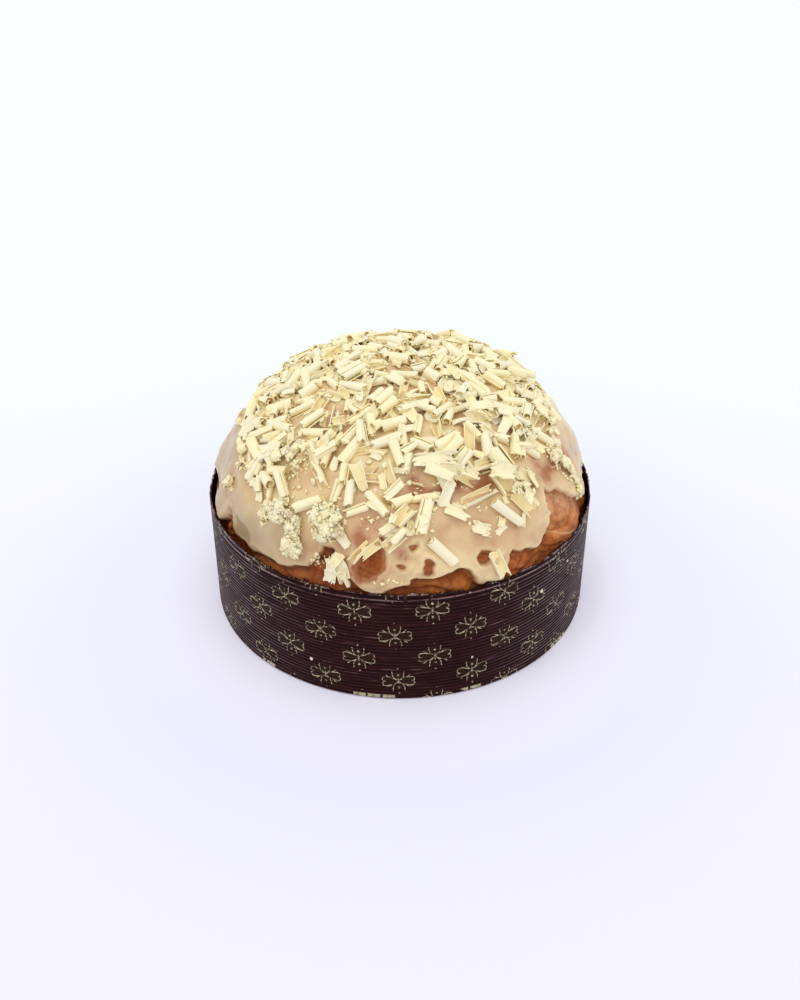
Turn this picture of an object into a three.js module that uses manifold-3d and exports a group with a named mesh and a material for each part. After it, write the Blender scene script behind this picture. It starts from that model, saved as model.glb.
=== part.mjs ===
// A low panettone of 750 g in its corrugated paper case, glazed and strewn with curls of white chocolate.
// Millimetres, +Z up. The origin is the middle of the case's underside, and -Y is the front.
import * as THREE from "three";
import { mergeVertices } from "three/addons/utils/BufferGeometryUtils.js";
import Module from "manifold-3d";

const wasm = await Module();
wasm.setup();

// ---- Driving dimensions ------------------------------------------------------------------------------------------

// The case: outer radius at the base and at the rim, and its height to the rim's highest point.
const CASE = { radius: 93.5, rimRadius: 92.9, height: 60, wall: 1, floor: 1, segments: 120 };
const RIM = { scallops: 30, scallopDepth: 0.7, sag: 0.9 };

// The dome: its crown stands at base + height, `lean` mm off the axis, and a roundness under 1 fills out its sides.
const DOME = { radius: 88, base: 56.5, height: 57, roundness: 0.9, leanX: 4, leanY: 6, segments: 60 };

// The loaf: `shoulder` is where it leaves the paper, and `lowest` the angle from the crown at which its dome ends.
const LOAF = { radius: 91.7, shoulder: 44, gap: 0.3, edgeRings: 3, lowest: 92 };

// The glaze: `edge` is how far down from the crown it reaches, in degrees, and `lowest` the most that it can.
const GLAZE = { rings: 8, thickness: 2.5, edgeThickness: 1.4, gap: 0.35, edge: 85, lowest: 90 };

// The curls: lengths, radii and strip thickness, how far they sink into the glaze, and their tilt in degrees.
const CURL = { count: 110, shortest: 9.5, longest: 17, thinnest: 2.2, thickest: 3.4, wall: 0.8, sink: 0.7, tilt: 4 };

// Neighbouring curls are this far round from each other, in degrees, which spreads them evenly over the dome.
const GOLDEN_ANGLE = 137.508;

// How far down the curls lie, in degrees from the crown: further at the front, less at the sides, and further where
// some have rolled down.
const FIELD = { reach: 58, front: 10, sides: 9, rolled: { bearing: 342, half: 14, reach: 13 } };

// Waves round the loaf: height in mm, how many go round, phase in radians, and how far the phase turns with each
// degree down from the crown. Lobes are the broad oven spring, and bulges stand above the rim.
const LOBES = [
  { height: 1.1, waves: 3, phase: 0.6, twist: 0 },
  { height: 0.8, waves: 5, phase: 2.4, twist: 0.03 },
];
const BULGES = [
  { height: 0.9, waves: 11, phase: 0, twist: 0.08 },
  { height: 0.7, waves: 17, phase: 1.9, twist: -0.11 },
];

// Waves of the rim's sag, as shares of RIM.sag, and of the glaze's edge, in degrees.
const SAGS = [
  { height: 0.6, waves: 2, phase: 0.8, twist: 0 },
  { height: 0.4, waves: 7, phase: 0, twist: 0 },
];
const RIPPLES = [
  { height: 1.2, waves: 9, phase: 0.4, twist: 0 },
  { height: 0.9, waves: 23, phase: 1.1, twist: 0 },
];

// The kinds of curl, rolled, open and bent: `upTo` is the running share of each, `sweep` how far round its strip is
// bent in degrees, `steps` the flats that it is bent in, and `lean` how far it may turn over.
const CURL_KINDS = [
  { upTo: 0.6, sweep: 300, steps: 5, widen: 1, lean: 90 },
  { upTo: 0.85, sweep: 190, steps: 3, widen: 1.15, lean: 40 },
  { upTo: 1, sweep: 90, steps: 2, widen: 1.7, lean: 15 },
];

// Where the glaze runs further down (positive reach) or stops short (negative), all in degrees.
const RUNS = [
  { bearing: 28, half: 9, reach: -8 },
  { bearing: 52, half: 6, reach: 5 },
  { bearing: 78, half: 10, reach: -7 },
  { bearing: 104, half: 7, reach: 4 },
  { bearing: 131, half: 9, reach: -9 },
  { bearing: 157, half: 7, reach: 4 },
  { bearing: 196, half: 6, reach: 5 },
  { bearing: 207, half: 4, reach: -6 },
  { bearing: 254, half: 4, reach: 4 },
  { bearing: 270, half: 8, reach: 4 },
  { bearing: 287, half: 5, reach: -7 },
  { bearing: 305, half: 7, reach: -9 },
  { bearing: 333, half: 12, reach: -24 },
];

// Bare windows in the glaze near the front edge: bearing and angle from the crown in degrees, half sizes in mm.
const WINDOWS = [
  { bearing: 254, angle: 77, across: 3.8, down: 3 },
  { bearing: 262, angle: 78, across: 3.4, down: 6 },
  { bearing: 277, angle: 79, across: 2.6, down: 3.6 },
  { bearing: 295, angle: 75, across: 3, down: 3.4 },
];
const WINDOW = { corners: 7, depth: 12, narrowest: 0.8, widest: 1.15 };

// ---- Small helpers -----------------------------------------------------------------------------------------------

const radians = THREE.MathUtils.degToRad;

// A repeatable draw from 0 to 1 for item number `index` and purpose number `purpose`.
function draw(index, purpose) {
  const wave = Math.sin(index * 127.1 + purpose * 311.7) * 43758.5453;
  return wave - Math.floor(wave);
}

// A draw from `low` to `high`.
function between(low, high, index, purpose) {
  return low + (high - low) * draw(index, purpose);
}

// The sum of a list of waves at a bearing and an angle from the crown.
function sumWaves(list, bearing, angle = 0) {
  const t = radians(bearing);
  return list.reduce((sum, w) => sum + w.height * Math.sin(w.waves * t + w.phase + w.twist * angle), 0);
}

// The smallest difference between two bearings, in degrees.
function bearingGap(a, b) {
  return ((((a - b) % 360) + 540) % 360) - 180;
}

// A rounded bump of a given reach that fades out `half` degrees to each side of its own bearing.
function bump({ bearing, half, reach }, at) {
  const away = bearingGap(at, bearing) / half;
  return reach * Math.exp(-away * away);
}

// A closed mesh from rings of points. Each ring is an array of equal length, counter-clockwise seen from above, and
// the rings follow the skin from its lowest inner point to its highest outer one. The first and last rings close on a
// single point each. Each quad is split along its shorter diagonal, so that skins one above the other split alike.
function meshFromRings(first, rings, last) {
  const points = [first, ...rings.flat(), last];
  const count = rings[0].length;
  const triangles = [];
  const at = (ring, i) => 1 + ring * count + (i % count);
  const apart = (a, b) => points[a].distanceTo(points[b]);
  for (let i = 0; i < count; i++) {
    triangles.push(0, at(0, i + 1), at(0, i));
    triangles.push(points.length - 1, at(rings.length - 1, i), at(rings.length - 1, i + 1));
    for (let ring = 0; ring + 1 < rings.length; ring++) {
      const [a, b] = [at(ring, i), at(ring, i + 1)];
      const [c, d] = [at(ring + 1, i + 1), at(ring + 1, i)];
      triangles.push(...(apart(a, c) < apart(b, d) ? [a, b, c, a, c, d] : [a, b, d, b, c, d]));
    }
  }
  const geometry = new THREE.BufferGeometry().setFromPoints(points);
  geometry.setIndex(triangles);
  return geometry;
}

// A closed geometry as a solid that can be joined and cut.
function toSolid(geometry) {
  const plain = geometry.index ? geometry.toNonIndexed() : geometry.clone();
  plain.deleteAttribute("normal");
  plain.deleteAttribute("uv");
  const merged = mergeVertices(plain, 1e-4);
  return new wasm.Manifold(
    new wasm.Mesh({
      numProp: 3,
      vertProperties: merged.attributes.position.array,
      triVerts: new Uint32Array(merged.index.array),
    }),
  );
}

// The largest outer skin of a solid as a geometry: sealed pockets are filled and loose scraps are dropped.
function toGeometry(solid) {
  const largest = solid.decompose().reduce((a, b) => (b.volume() > a.volume() ? b : a));
  const mesh = largest.getMesh();
  const positions = new Float32Array(mesh.numVert * 3);
  for (let i = 0; i < mesh.numVert; i++) {
    positions.set(mesh.vertProperties.subarray(i * mesh.numProp, i * mesh.numProp + 3), i * 3);
  }
  const geometry = new THREE.BufferGeometry();
  geometry.setAttribute("position", new THREE.BufferAttribute(positions, 3));
  geometry.setIndex(new THREE.BufferAttribute(mesh.triVerts, 1));
  return geometry;
}

// ---- The dome's form ---------------------------------------------------------------------------------------------

// How far the crust swells out of the plain dome, in mm.
function swell(bearing, angle) {
  const side = Math.sin(radians(Math.min(angle, 90)));
  return sumWaves(LOBES, bearing, angle) * side ** 2 + sumWaves(BULGES, bearing, angle) * side ** 8;
}

// A point on the crust. The bearing runs counter-clockwise from +X, and the angle down from the crown, in degrees.
function crustPoint(bearing, angle) {
  const t = radians(bearing);
  const a = radians(angle);
  const share = Math.sin(a) ** DOME.roundness;
  return new THREE.Vector3(
    DOME.radius * share * Math.cos(t) + DOME.leanX * (1 - share ** 2),
    DOME.radius * share * Math.sin(t) + DOME.leanY * (1 - share ** 2),
    DOME.base + DOME.height * Math.cos(a),
  ).addScaledVector(crustNormal(bearing, angle), swell(bearing, angle));
}

// The plain dome's outward direction there.
function crustNormal(bearing, angle) {
  const t = radians(bearing);
  const a = radians(angle);
  const outward = Math.sin(a) / DOME.radius;
  return new THREE.Vector3(outward * Math.cos(t), outward * Math.sin(t), Math.cos(a) / DOME.height).normalize();
}

// How far down the glaze reaches at a bearing, in degrees from the crown.
function glazeEdge(bearing) {
  const runs = RUNS.reduce((sum, run) => sum + bump(run, bearing), 0);
  return Math.min(GLAZE.edge + sumWaves(RIPPLES, bearing) + runs, GLAZE.lowest);
}

// How far from the crown curls lie at a bearing, in degrees.
function curlReach(bearing) {
  const t = radians(bearing);
  return FIELD.reach - FIELD.front * Math.sin(t) - FIELD.sides * Math.cos(t) ** 2 + bump(FIELD.rolled, bearing);
}

// Evenly spaced bearings all the way round, in degrees.
function bearings(count) {
  return Array.from({ length: count }, (_, i) => (360 * i) / count);
}

// ---- The pieces --------------------------------------------------------------------------------------------------

// The rim's height at a bearing: it sags a little between its high places, and its edge is cut in small scallops.
function rimHeight(bearing) {
  const scallop = RIM.scallopDepth * Math.sin(RIM.scallops * radians(bearing));
  return CASE.height - RIM.sag - RIM.scallopDepth + RIM.sag * sumWaves(SAGS, bearing) + scallop;
}

// The paper case: a round wall with a scalloped rim, and its flat base.
function caseGeometry() {
  const ring = (radius, height) =>
    bearings(CASE.segments).map((bearing) => {
      const t = radians(bearing);
      return new THREE.Vector3(radius * Math.cos(t), radius * Math.sin(t), height(bearing));
    });
  const rings = [
    ring(CASE.radius, () => 0),
    ring(CASE.rimRadius, rimHeight),
    ring(CASE.rimRadius - CASE.wall, rimHeight),
    ring(CASE.radius - CASE.wall, () => CASE.floor),
  ];
  return meshFromRings(new THREE.Vector3(0, 0, 0), rings, new THREE.Vector3(0, 0, CASE.floor));
}

// The angles of the crust's rings at a bearing, from the crown down: the first ones lie under the glaze.
function crustAngles(bearing) {
  const edge = glazeEdge(bearing);
  const under = Array.from({ length: GLAZE.rings }, (_, i) => (edge * (i + 1)) / GLAZE.rings);
  const step = (LOAF.lowest - edge) / LOAF.edgeRings;
  const bare = Array.from({ length: LOAF.edgeRings }, (_, i) => edge + step * (i + 1));
  return [...under, ...bare];
}

// The loaf: it fills the case up to its shoulder, draws in from the paper, and rises in the dome.
function loafGeometry() {
  const around = bearings(DOME.segments);
  const bottom = CASE.floor + LOAF.gap;
  const wall = (height, radius) =>
    around.map((bearing) => {
      const t = radians(bearing);
      return new THREE.Vector3(radius * Math.cos(t), radius * Math.sin(t), height);
    });
  const columns = around.map((bearing) => crustAngles(bearing).map((angle) => crustPoint(bearing, angle)));
  const dome = columns[0].map((_, i) => columns.map((column) => column[i])).reverse();
  const rings = [wall(bottom, LOAF.radius), wall(LOAF.shoulder, LOAF.radius), ...dome];
  return meshFromRings(new THREE.Vector3(0, 0, bottom), rings, crustPoint(0, 0));
}

// How thick the glaze is at a bearing and a share of the way from the crown to its edge, where it thins out.
function glazeThickness(bearing, share) {
  const t = radians(bearing);
  const waves = 0.35 * Math.sin(4 * t + 6 * share) + 0.3 * Math.sin(7 * t - 9 * share);
  return THREE.MathUtils.lerp(GLAZE.thickness, GLAZE.edgeThickness, share ** 2) + waves * share;
}

// The rings of a layer that lies `rise` mm above the crust, from the crown down to the glaze's edge.
function layerRings(rise) {
  return Array.from({ length: GLAZE.rings }, (_, i) => {
    const share = (i + 1) / GLAZE.rings;
    return bearings(DOME.segments).map((bearing) => {
      const angle = glazeEdge(bearing) * share;
      return crustPoint(bearing, angle).addScaledVector(crustNormal(bearing, angle), rise(bearing, share));
    });
  });
}

// The crown, `rise` mm above the crust.
function crownPoint(rise) {
  return crustPoint(0, 0).addScaledVector(crustNormal(0, 0), rise);
}

// The glaze as a shell that follows the crust.
function glazeSolid() {
  const inner = layerRings(() => GLAZE.gap);
  const outer = layerRings((bearing, share) => GLAZE.gap + glazeThickness(bearing, share)).reverse();
  return toSolid(meshFromRings(crownPoint(GLAZE.gap), [...inner, ...outer], crownPoint(GLAZE.gap + GLAZE.thickness)));
}

// The turn and place of something that lies on the dome: its Z along the surface at `heading` degrees from downhill,
// its Y away from the dome, tilted by `tilt` degrees, and `rise` mm above the crust.
function placeOnDome({ bearing, angle, heading = 0, tilt = 0, rise = 0 }) {
  const up = crustNormal(bearing, angle);
  const t = radians(bearing);
  const sideways = new THREE.Vector3(-Math.sin(t), Math.cos(t), 0);
  const downhill = new THREE.Vector3().crossVectors(sideways, up).normalize();
  const along = downhill.applyAxisAngle(up, radians(heading));
  const across = new THREE.Vector3().crossVectors(up, along).normalize();
  along.applyAxisAngle(across, radians(tilt));
  const away = new THREE.Vector3().crossVectors(along, across);
  const place = crustPoint(bearing, angle).addScaledVector(up, rise);
  return new THREE.Matrix4().makeBasis(across, away, along).setPosition(place);
}

// A prism that cuts one bare window with a wavy outline through the glaze.
function windowSolid({ bearing, angle, across, down }) {
  const corners = bearings(WINDOW.corners).map((corner, i) => {
    const wobble = between(WINDOW.narrowest, WINDOW.widest, i, bearing);
    const t = radians(corner);
    return new THREE.Vector2(across * wobble * Math.cos(t), down * wobble * Math.sin(t));
  });
  const prism = new THREE.ExtrudeGeometry(new THREE.Shape(corners), { depth: WINDOW.depth, bevelEnabled: false });
  prism.translate(0, 0, -WINDOW.depth / 2);
  prism.rotateX(-Math.PI / 2);
  prism.applyMatrix4(placeOnDome({ bearing, angle }));
  return toSolid(prism);
}

// The outline of a rolled shaving seen from its end: a strip of constant thickness bent round through `sweep`
// degrees, with its lowest point at zero height.
function rollOutline(radius, { sweep, steps }, turn) {
  const arc = (r) =>
    Array.from({ length: steps + 1 }, (_, i) => {
      const t = radians(turn + sweep * (i / steps - 0.5));
      return new THREE.Vector2(r * Math.cos(t), r * Math.sin(t));
    });
  const outline = [...arc(radius), ...arc(radius - CURL.wall).reverse()];
  const lowest = Math.min(...outline.map((point) => point.y));
  return outline.map((point) => new THREE.Vector2(point.x, point.y - lowest));
}

// One piece of white chocolate: most are rolled nearly shut, some are open troughs, and a few are bent flakes.
function curlSolid(index) {
  const bearing = (index * GOLDEN_ANGLE) % 360;
  const reach = radians(curlReach(bearing));
  const area = (index + 0.5) / CURL.count;
  const angle = THREE.MathUtils.radToDeg(Math.acos(1 - area * (1 - Math.cos(reach))));
  const kind = CURL_KINDS.find(({ upTo }) => draw(index, 1) < upTo);
  const radius = between(CURL.thinnest, CURL.thickest, index, 2) * kind.widen;
  const length = between(CURL.shortest, CURL.longest, index, 3);
  const outline = rollOutline(radius, kind, 90 + between(-kind.lean, kind.lean, index, 4));
  const roll = new THREE.ExtrudeGeometry(new THREE.Shape(outline), { depth: length, bevelEnabled: false });
  roll.translate(0, 0, -length / 2);
  const rise = GLAZE.gap + glazeThickness(bearing, angle / glazeEdge(bearing)) - CURL.sink;
  const heading = between(0, 180, index, 5);
  const tilt = between(-CURL.tilt, CURL.tilt, index, 6);
  roll.applyMatrix4(placeOnDome({ bearing, angle, heading, tilt, rise }));
  return toSolid(roll);
}

// The glaze with its bare windows, and the curls stuck to it.
function toppingGeometry() {
  const windows = WINDOWS.map(windowSolid);
  const glaze = wasm.Manifold.difference([glazeSolid(), ...windows]);
  const curls = Array.from({ length: CURL.count }, (_, index) => curlSolid(index));
  return toGeometry(wasm.Manifold.union([glaze, ...curls]));
}

// ---- The object --------------------------------------------------------------------------------------------------

const paper = new THREE.MeshStandardMaterial({ color: 0x35191c, roughness: 0.55, metalness: 0 });
const crust = new THREE.MeshStandardMaterial({ color: 0xa8602c, roughness: 0.7, metalness: 0 });
const icing = new THREE.MeshStandardMaterial({ color: 0xe8d9a8, roughness: 0.4, metalness: 0 });

// A named mesh with flat normals.
function piece(name, geometry, material) {
  geometry.computeVertexNormals();
  const mesh = new THREE.Mesh(geometry, material);
  mesh.name = name;
  return mesh;
}

const panettone = new THREE.Group();
panettone.add(
  piece("paper_case", caseGeometry(), paper),
  piece("loaf", loafGeometry(), crust),
  piece("icing_and_curls", toppingGeometry(), icing),
);

export default panettone;
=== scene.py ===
"""Dresses a low glazed panettone in its corrugated paper case, strewn with curls of white chocolate.

Metres, +Z up. The origin is the middle of the case's underside, and -Y is the front. On the dome a place is
given by its bearing, counter-clockwise from +X, and its angle down from the crown, both in degrees.
"""
import logging
import math
from dataclasses import dataclass, replace
from enum import Enum

import bmesh
import bpy
import numpy as np
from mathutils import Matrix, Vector, noise
from mathutils.bvhtree import BVHTree
from mathutils.kdtree import KDTree


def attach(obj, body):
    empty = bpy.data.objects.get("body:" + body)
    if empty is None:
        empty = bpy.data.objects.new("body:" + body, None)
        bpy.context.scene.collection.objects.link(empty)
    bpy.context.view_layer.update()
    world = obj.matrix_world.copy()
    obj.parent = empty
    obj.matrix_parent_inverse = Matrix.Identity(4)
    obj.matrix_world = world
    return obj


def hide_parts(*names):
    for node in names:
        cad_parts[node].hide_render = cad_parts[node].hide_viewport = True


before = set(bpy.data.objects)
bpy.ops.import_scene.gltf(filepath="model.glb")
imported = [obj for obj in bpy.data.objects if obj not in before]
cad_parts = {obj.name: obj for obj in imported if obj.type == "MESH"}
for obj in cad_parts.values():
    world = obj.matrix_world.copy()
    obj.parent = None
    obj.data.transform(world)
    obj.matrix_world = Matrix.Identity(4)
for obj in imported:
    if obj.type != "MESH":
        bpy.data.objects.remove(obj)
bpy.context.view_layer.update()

MM = 0.001
GOLDEN_ANGLE = 137.508
Colour = tuple[float, float, float]
Outline = tuple[tuple[float, float], ...]

logging.basicConfig(level=logging.INFO, format="%(message)s")
log = logging.getLogger("panettone")


# ---- Numbers and draws -----------------------------------------------


def draw(index: float, purpose: float) -> float:
    """Returns a repeatable number from 0 to 1 for an item and a purpose.

    Args:
        index: The item's number.
        purpose: Which of the item's properties is being drawn.

    Returns:
        The draw.
    """
    wave = math.sin(index * 127.1 + purpose * 311.7) * 43758.5453
    return wave - math.floor(wave)


def between(low: float, high: float, index: float, purpose: float) -> float:
    """Returns a repeatable number from low to high."""
    return low + (high - low) * draw(index, purpose)


def smoothstep(low: float, high: float, x: np.ndarray) -> np.ndarray:
    """Returns 0 below low, 1 above high and a soft rise between them."""
    t = np.clip((x - low) / (high - low), 0.0, 1.0)
    return t * t * (3.0 - 2.0 * t)


def turn_gap(a: np.ndarray, b: float) -> np.ndarray:
    """Returns the smallest difference between two bearings, in degrees."""
    return (a - b + 540.0) % 360.0 - 180.0


def peak(bearing: np.ndarray, middle: float, half: float) -> np.ndarray:
    """Returns 1 at a middle bearing and a soft fall to both sides of it."""
    return np.exp(-((turn_gap(bearing, middle) / half) ** 2))


def srgb(red: int, green: int, blue: int) -> Colour:
    """Returns a display colour of 0 to 255 a channel as the linear colour that shaders take."""
    def linear(channel: int) -> float:
        share = channel / 255.0
        return share / 12.92 if share <= 0.04045 else ((share + 0.055) / 1.055) ** 2.4

    return linear(red), linear(green), linear(blue)


def field_noise(points: np.ndarray, scale: tuple[float, float, float], offset: float = 0.0) -> np.ndarray:
    """Samples smooth noise at many points.

    Args:
        points: An array of points, in metres.
        scale: How many noise cells go into a metre along each axis.
        offset: Moves the pattern, so that two uses of it differ.

    Returns:
        One value of about -0.5 to 0.5 for each point.
    """
    scaled = points * np.array(scale) + offset
    return np.array([noise.noise(Vector(p)) for p in scaled])


@dataclass(frozen=True)
class Wave:
    """A wave round the loaf: its height, how many go round, and how its phase turns on the way down."""

    height: float
    count: int
    phase: float
    twist: float = 0.0


def sum_waves(waves: tuple[Wave, ...], bearing: np.ndarray, angle: np.ndarray | float = 0.0) -> np.ndarray:
    """Adds up waves at a bearing and an angle, in the unit of their heights."""
    turn = np.radians(bearing)
    return sum(w.height * np.sin(w.count * turn + w.phase + w.twist * angle) for w in waves)


@dataclass(frozen=True)
class Run:
    """A rounded bump along the glaze's edge, in degrees: a run reaches down and a bay stops short."""

    bearing: float
    half: float
    reach: float

    def at(self, bearing: np.ndarray) -> np.ndarray:
        """Returns the bump's reach at a bearing."""
        return self.reach * peak(bearing, self.bearing, self.half)


# ---- Working with Blender's tools ------------------------------------


def pick(piece: bpy.types.Object) -> None:
    """Makes a piece the active object and the only one selected."""
    bpy.ops.object.select_all(action="DESELECT")
    piece.select_set(True)
    bpy.context.view_layer.objects.active = piece


def edit(piece: bpy.types.Object, chosen: np.ndarray, kind: str = "VERT") -> None:
    """Opens a piece in edit mode with only the chosen vertices or faces selected.

    Args:
        piece: The mesh object.
        chosen: A true or false value for each vertex or face.
        kind: What is chosen, VERT or FACE.
    """
    pick(piece)
    bpy.ops.object.mode_set(mode="EDIT")
    bpy.ops.mesh.select_mode(type=kind)
    bpy.ops.mesh.select_all(action="DESELECT")
    skin = bmesh.from_edit_mesh(piece.data)
    for part, wanted in zip(skin.verts if kind == "VERT" else skin.faces, chosen):
        part.select_set(bool(wanted))
    if kind == "VERT":
        skin.select_flush(True)
    bmesh.update_edit_mesh(piece.data)


def close_edit() -> None:
    """Goes back to object mode."""
    bpy.ops.object.mode_set(mode="OBJECT")


def apply_modifier(piece: bpy.types.Object, kind: str, **settings: object) -> None:
    """Adds a modifier to a piece and applies it.

    Args:
        piece: The mesh object.
        kind: Blender's name for the modifier's type.
        **settings: The modifier's properties.
    """
    pick(piece)
    modifier = piece.modifiers.new(kind.lower(), kind)
    for name, value in settings.items():
        setattr(modifier, name, value)
    bpy.ops.object.modifier_apply(modifier=modifier.name)


def points_of(piece: bpy.types.Object) -> np.ndarray:
    """Returns a mesh's vertices as an array of points."""
    flat = np.empty(len(piece.data.vertices) * 3)
    piece.data.vertices.foreach_get("co", flat)
    return flat.reshape(-1, 3)


def set_points(piece: bpy.types.Object, points: np.ndarray) -> None:
    """Moves a mesh's vertices to an array of points."""
    piece.data.vertices.foreach_set("co", points.ravel())
    piece.data.update()


def set_attribute(piece: bpy.types.Object, name: str, values: np.ndarray) -> None:
    """Stores a number for each vertex, which materials read by name."""
    layer = piece.data.attributes.new(name, "FLOAT", "POINT")
    layer.data.foreach_set("value", values.astype(np.float32))


def new_piece(points: list, edges: list, faces: list) -> bpy.types.Object:
    """Adds a mesh object made of points, edges and faces."""
    mesh = bpy.data.meshes.new("piece")
    mesh.from_pydata(points, edges, faces)
    piece = bpy.data.objects.new("piece", mesh)
    bpy.context.scene.collection.objects.link(piece)
    return piece


def face_middles(piece: bpy.types.Object) -> np.ndarray:
    """Returns the middle of each face of a mesh."""
    flat = np.empty(len(piece.data.polygons) * 3)
    piece.data.polygons.foreach_get("center", flat)
    return flat.reshape(-1, 3)


def present(piece: bpy.types.Object, name: str, node: str, material: bpy.types.Material,
            crease: float = 180.0) -> bpy.types.Object:
    """Names, shades and dresses a finished piece, and ties it to the frame.

    Args:
        piece: The finished mesh object.
        name: Its name.
        node: The CAD node that it stands for.
        material: Its material.
        crease: Edges sharper than this many degrees stay sharp.

    Returns:
        The same object.
    """
    piece.name = piece.data.name = name
    piece.data.materials.clear()
    piece.data.materials.append(material)
    pick(piece)
    bpy.ops.object.shade_smooth_by_angle(angle=math.radians(crease))
    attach(piece, "root")
    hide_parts(node)
    log.info("%s: %d faces", name, len(piece.data.polygons))
    return piece


# ---- Node trees ------------------------------------------------------


@dataclass(frozen=True, eq=False)
class Value:
    """An output in a node tree, on which plain arithmetic adds math nodes."""

    recipe: "Recipe"
    socket: bpy.types.NodeSocket

    def __add__(self, other: "Value | float") -> "Value":
        """Adds."""
        return self.recipe.math("ADD", self, other)

    def __sub__(self, other: "Value | float") -> "Value":
        """Subtracts."""
        return self.recipe.math("SUBTRACT", self, other)

    def __rsub__(self, other: float) -> "Value":
        """Subtracts from a plain number."""
        return self.recipe.math("SUBTRACT", other, self)

    def __mul__(self, other: "Value | float") -> "Value":
        """Multiplies."""
        return self.recipe.math("MULTIPLY", self, other)

    def __truediv__(self, other: "Value | float") -> "Value":
        """Divides."""
        return self.recipe.math("DIVIDE", self, other)

    def __pow__(self, other: float) -> "Value":
        """Raises to a power."""
        return self.recipe.math("POWER", self, other)

    def __abs__(self) -> "Value":
        """Takes the size without its sign."""
        return self.recipe.math("ABSOLUTE", self)


class Recipe:
    """Puts together the node tree of a material, of a node group or of the sky."""

    def __init__(self, tree: bpy.types.NodeTree) -> None:
        """Starts on a tree."""
        self.tree = tree

    def feed(self, node: bpy.types.Node, inputs: dict[str | int, object]) -> None:
        """Sets a node's sockets, by name or number, to outputs to link or to plain values."""
        for name, value in inputs.items():
            if isinstance(value, Value):
                self.tree.links.new(value.socket, node.inputs[name])
            else:
                node.inputs[name].default_value = value

    def node(self, kind: str, inputs: dict[str | int, object], **settings: object) -> dict[str, Value]:
        """Adds a node.

        Args:
            kind: The node's type, such as ShaderNodeMath.
            inputs: What goes into its sockets, by name or number.
            **settings: The node's properties.

        Returns:
            Its outputs by name.
        """
        node = self.tree.nodes.new(kind)
        for name, value in settings.items():
            setattr(node, name, value)
        self.feed(node, inputs)
        return {socket.name: Value(self, socket) for socket in node.outputs if socket.enabled}

    def math(self, operation: str, *values: object, clamp: bool = False) -> Value:
        """Adds a math node and returns its result."""
        inputs = dict(enumerate(values))
        return self.node("ShaderNodeMath", inputs, operation=operation, use_clamp=clamp)["Value"]

    def ease(self, value: object, low: object, high: object) -> Value:
        """Returns a soft rise from 0 at low to 1 at high, or a fall where low is the larger."""
        inputs = {"Value": value, "From Min": low, "From Max": high}
        return self.node("ShaderNodeMapRange", inputs, interpolation_type="SMOOTHSTEP")["Result"]

    def span(self, value: Value, low: float, high: float) -> Value:
        """Stretches a value of 0 to 1 to one of low to high."""
        return self.node("ShaderNodeMapRange", {"Value": value, "To Min": low, "To Max": high})["Result"]

    def blend(self, share: Value, first: Value | Colour, second: Value | Colour) -> Value:
        """Mixes two colours by a share."""
        first, second = (c if isinstance(c, Value) else (*c, 1.0) for c in (first, second))
        return self.node("ShaderNodeMix", {0: share, 6: first, 7: second}, data_type="RGBA")["Result"]

    def place(self, kind: str = "Object") -> Value:
        """Returns the point that is being shaded, in the object's own metres unless another kind is named."""
        return self.node("ShaderNodeTexCoord", {})[kind]

    def axis(self, name: str, kind: str = "Object") -> Value:
        """Returns the X, Y or Z of that point."""
        return self.node("ShaderNodeSeparateXYZ", {0: self.place(kind)})[name]

    def turn(self) -> Value:
        """Returns how far round from the front that point is, in radians."""
        return self.math("ARCTAN2", self.axis("X"), self.axis("Y") * -1.0)

    def stretched(self, place: Value, scale: tuple[float, float, float]) -> Value:
        """Returns a place with each of its axes scaled."""
        return self.node("ShaderNodeMapping", {"Vector": place, "Scale": scale})["Vector"]

    def stored(self, name: str) -> Value:
        """Returns a number that the mesh stores at each vertex."""
        return self.node("ShaderNodeAttribute", {}, attribute_name=name)["Fac"]

    def clouds(self, scale: Value | float, detail: float = 3.0, roughness: float = 0.55,
               distortion: float = 0.0, place: Value | None = None) -> Value:
        """Adds smooth noise.

        Args:
            scale: How many of its cells go into a metre.
            detail: How many times finer noise is added.
            roughness: How strong the finer noise is.
            distortion: How far it is warped.
            place: Where it is read, if not at the point that is being shaded.

        Returns:
            A value of about 0 to 1.
        """
        inputs = {"Vector": place or self.place(), "Scale": scale, "Detail": detail}
        inputs |= {"Roughness": roughness, "Distortion": distortion}
        return self.node("ShaderNodeTexNoise", inputs)["Fac"]

    def cells(self, scale: Value | float) -> Value:
        """Returns the distance from the nearest of scattered points, with so many of them to the metre."""
        return self.node("ShaderNodeTexVoronoi", {"Vector": self.place(), "Scale": scale})["Distance"]

    def bump(self, height: Value, strength: float, distance: float) -> Value:
        """Returns the normal of a surface with fine relief on it."""
        inputs = {"Height": height, "Strength": strength, "Distance": distance}
        return self.node("ShaderNodeBump", inputs)["Normal"]

    def grain(self, tree: bpy.types.NodeTree, scale: float, specks: float) -> dict[str, Value]:
        """Places the group for fine grain, and returns its Grain and its Speck."""
        return self.node("ShaderNodeGroup", {"Scale": scale, "Specks": specks}, node_tree=tree)


def new_material(name: str) -> tuple[bpy.types.Material, Recipe, bpy.types.Node]:
    """Starts a material.

    Args:
        name: The material's name.

    Returns:
        The material, its recipe and its Principled shader.
    """
    material = bpy.data.materials.new(name)
    material.use_nodes = True
    return material, Recipe(material.node_tree), material.node_tree.nodes["Principled BSDF"]


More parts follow.
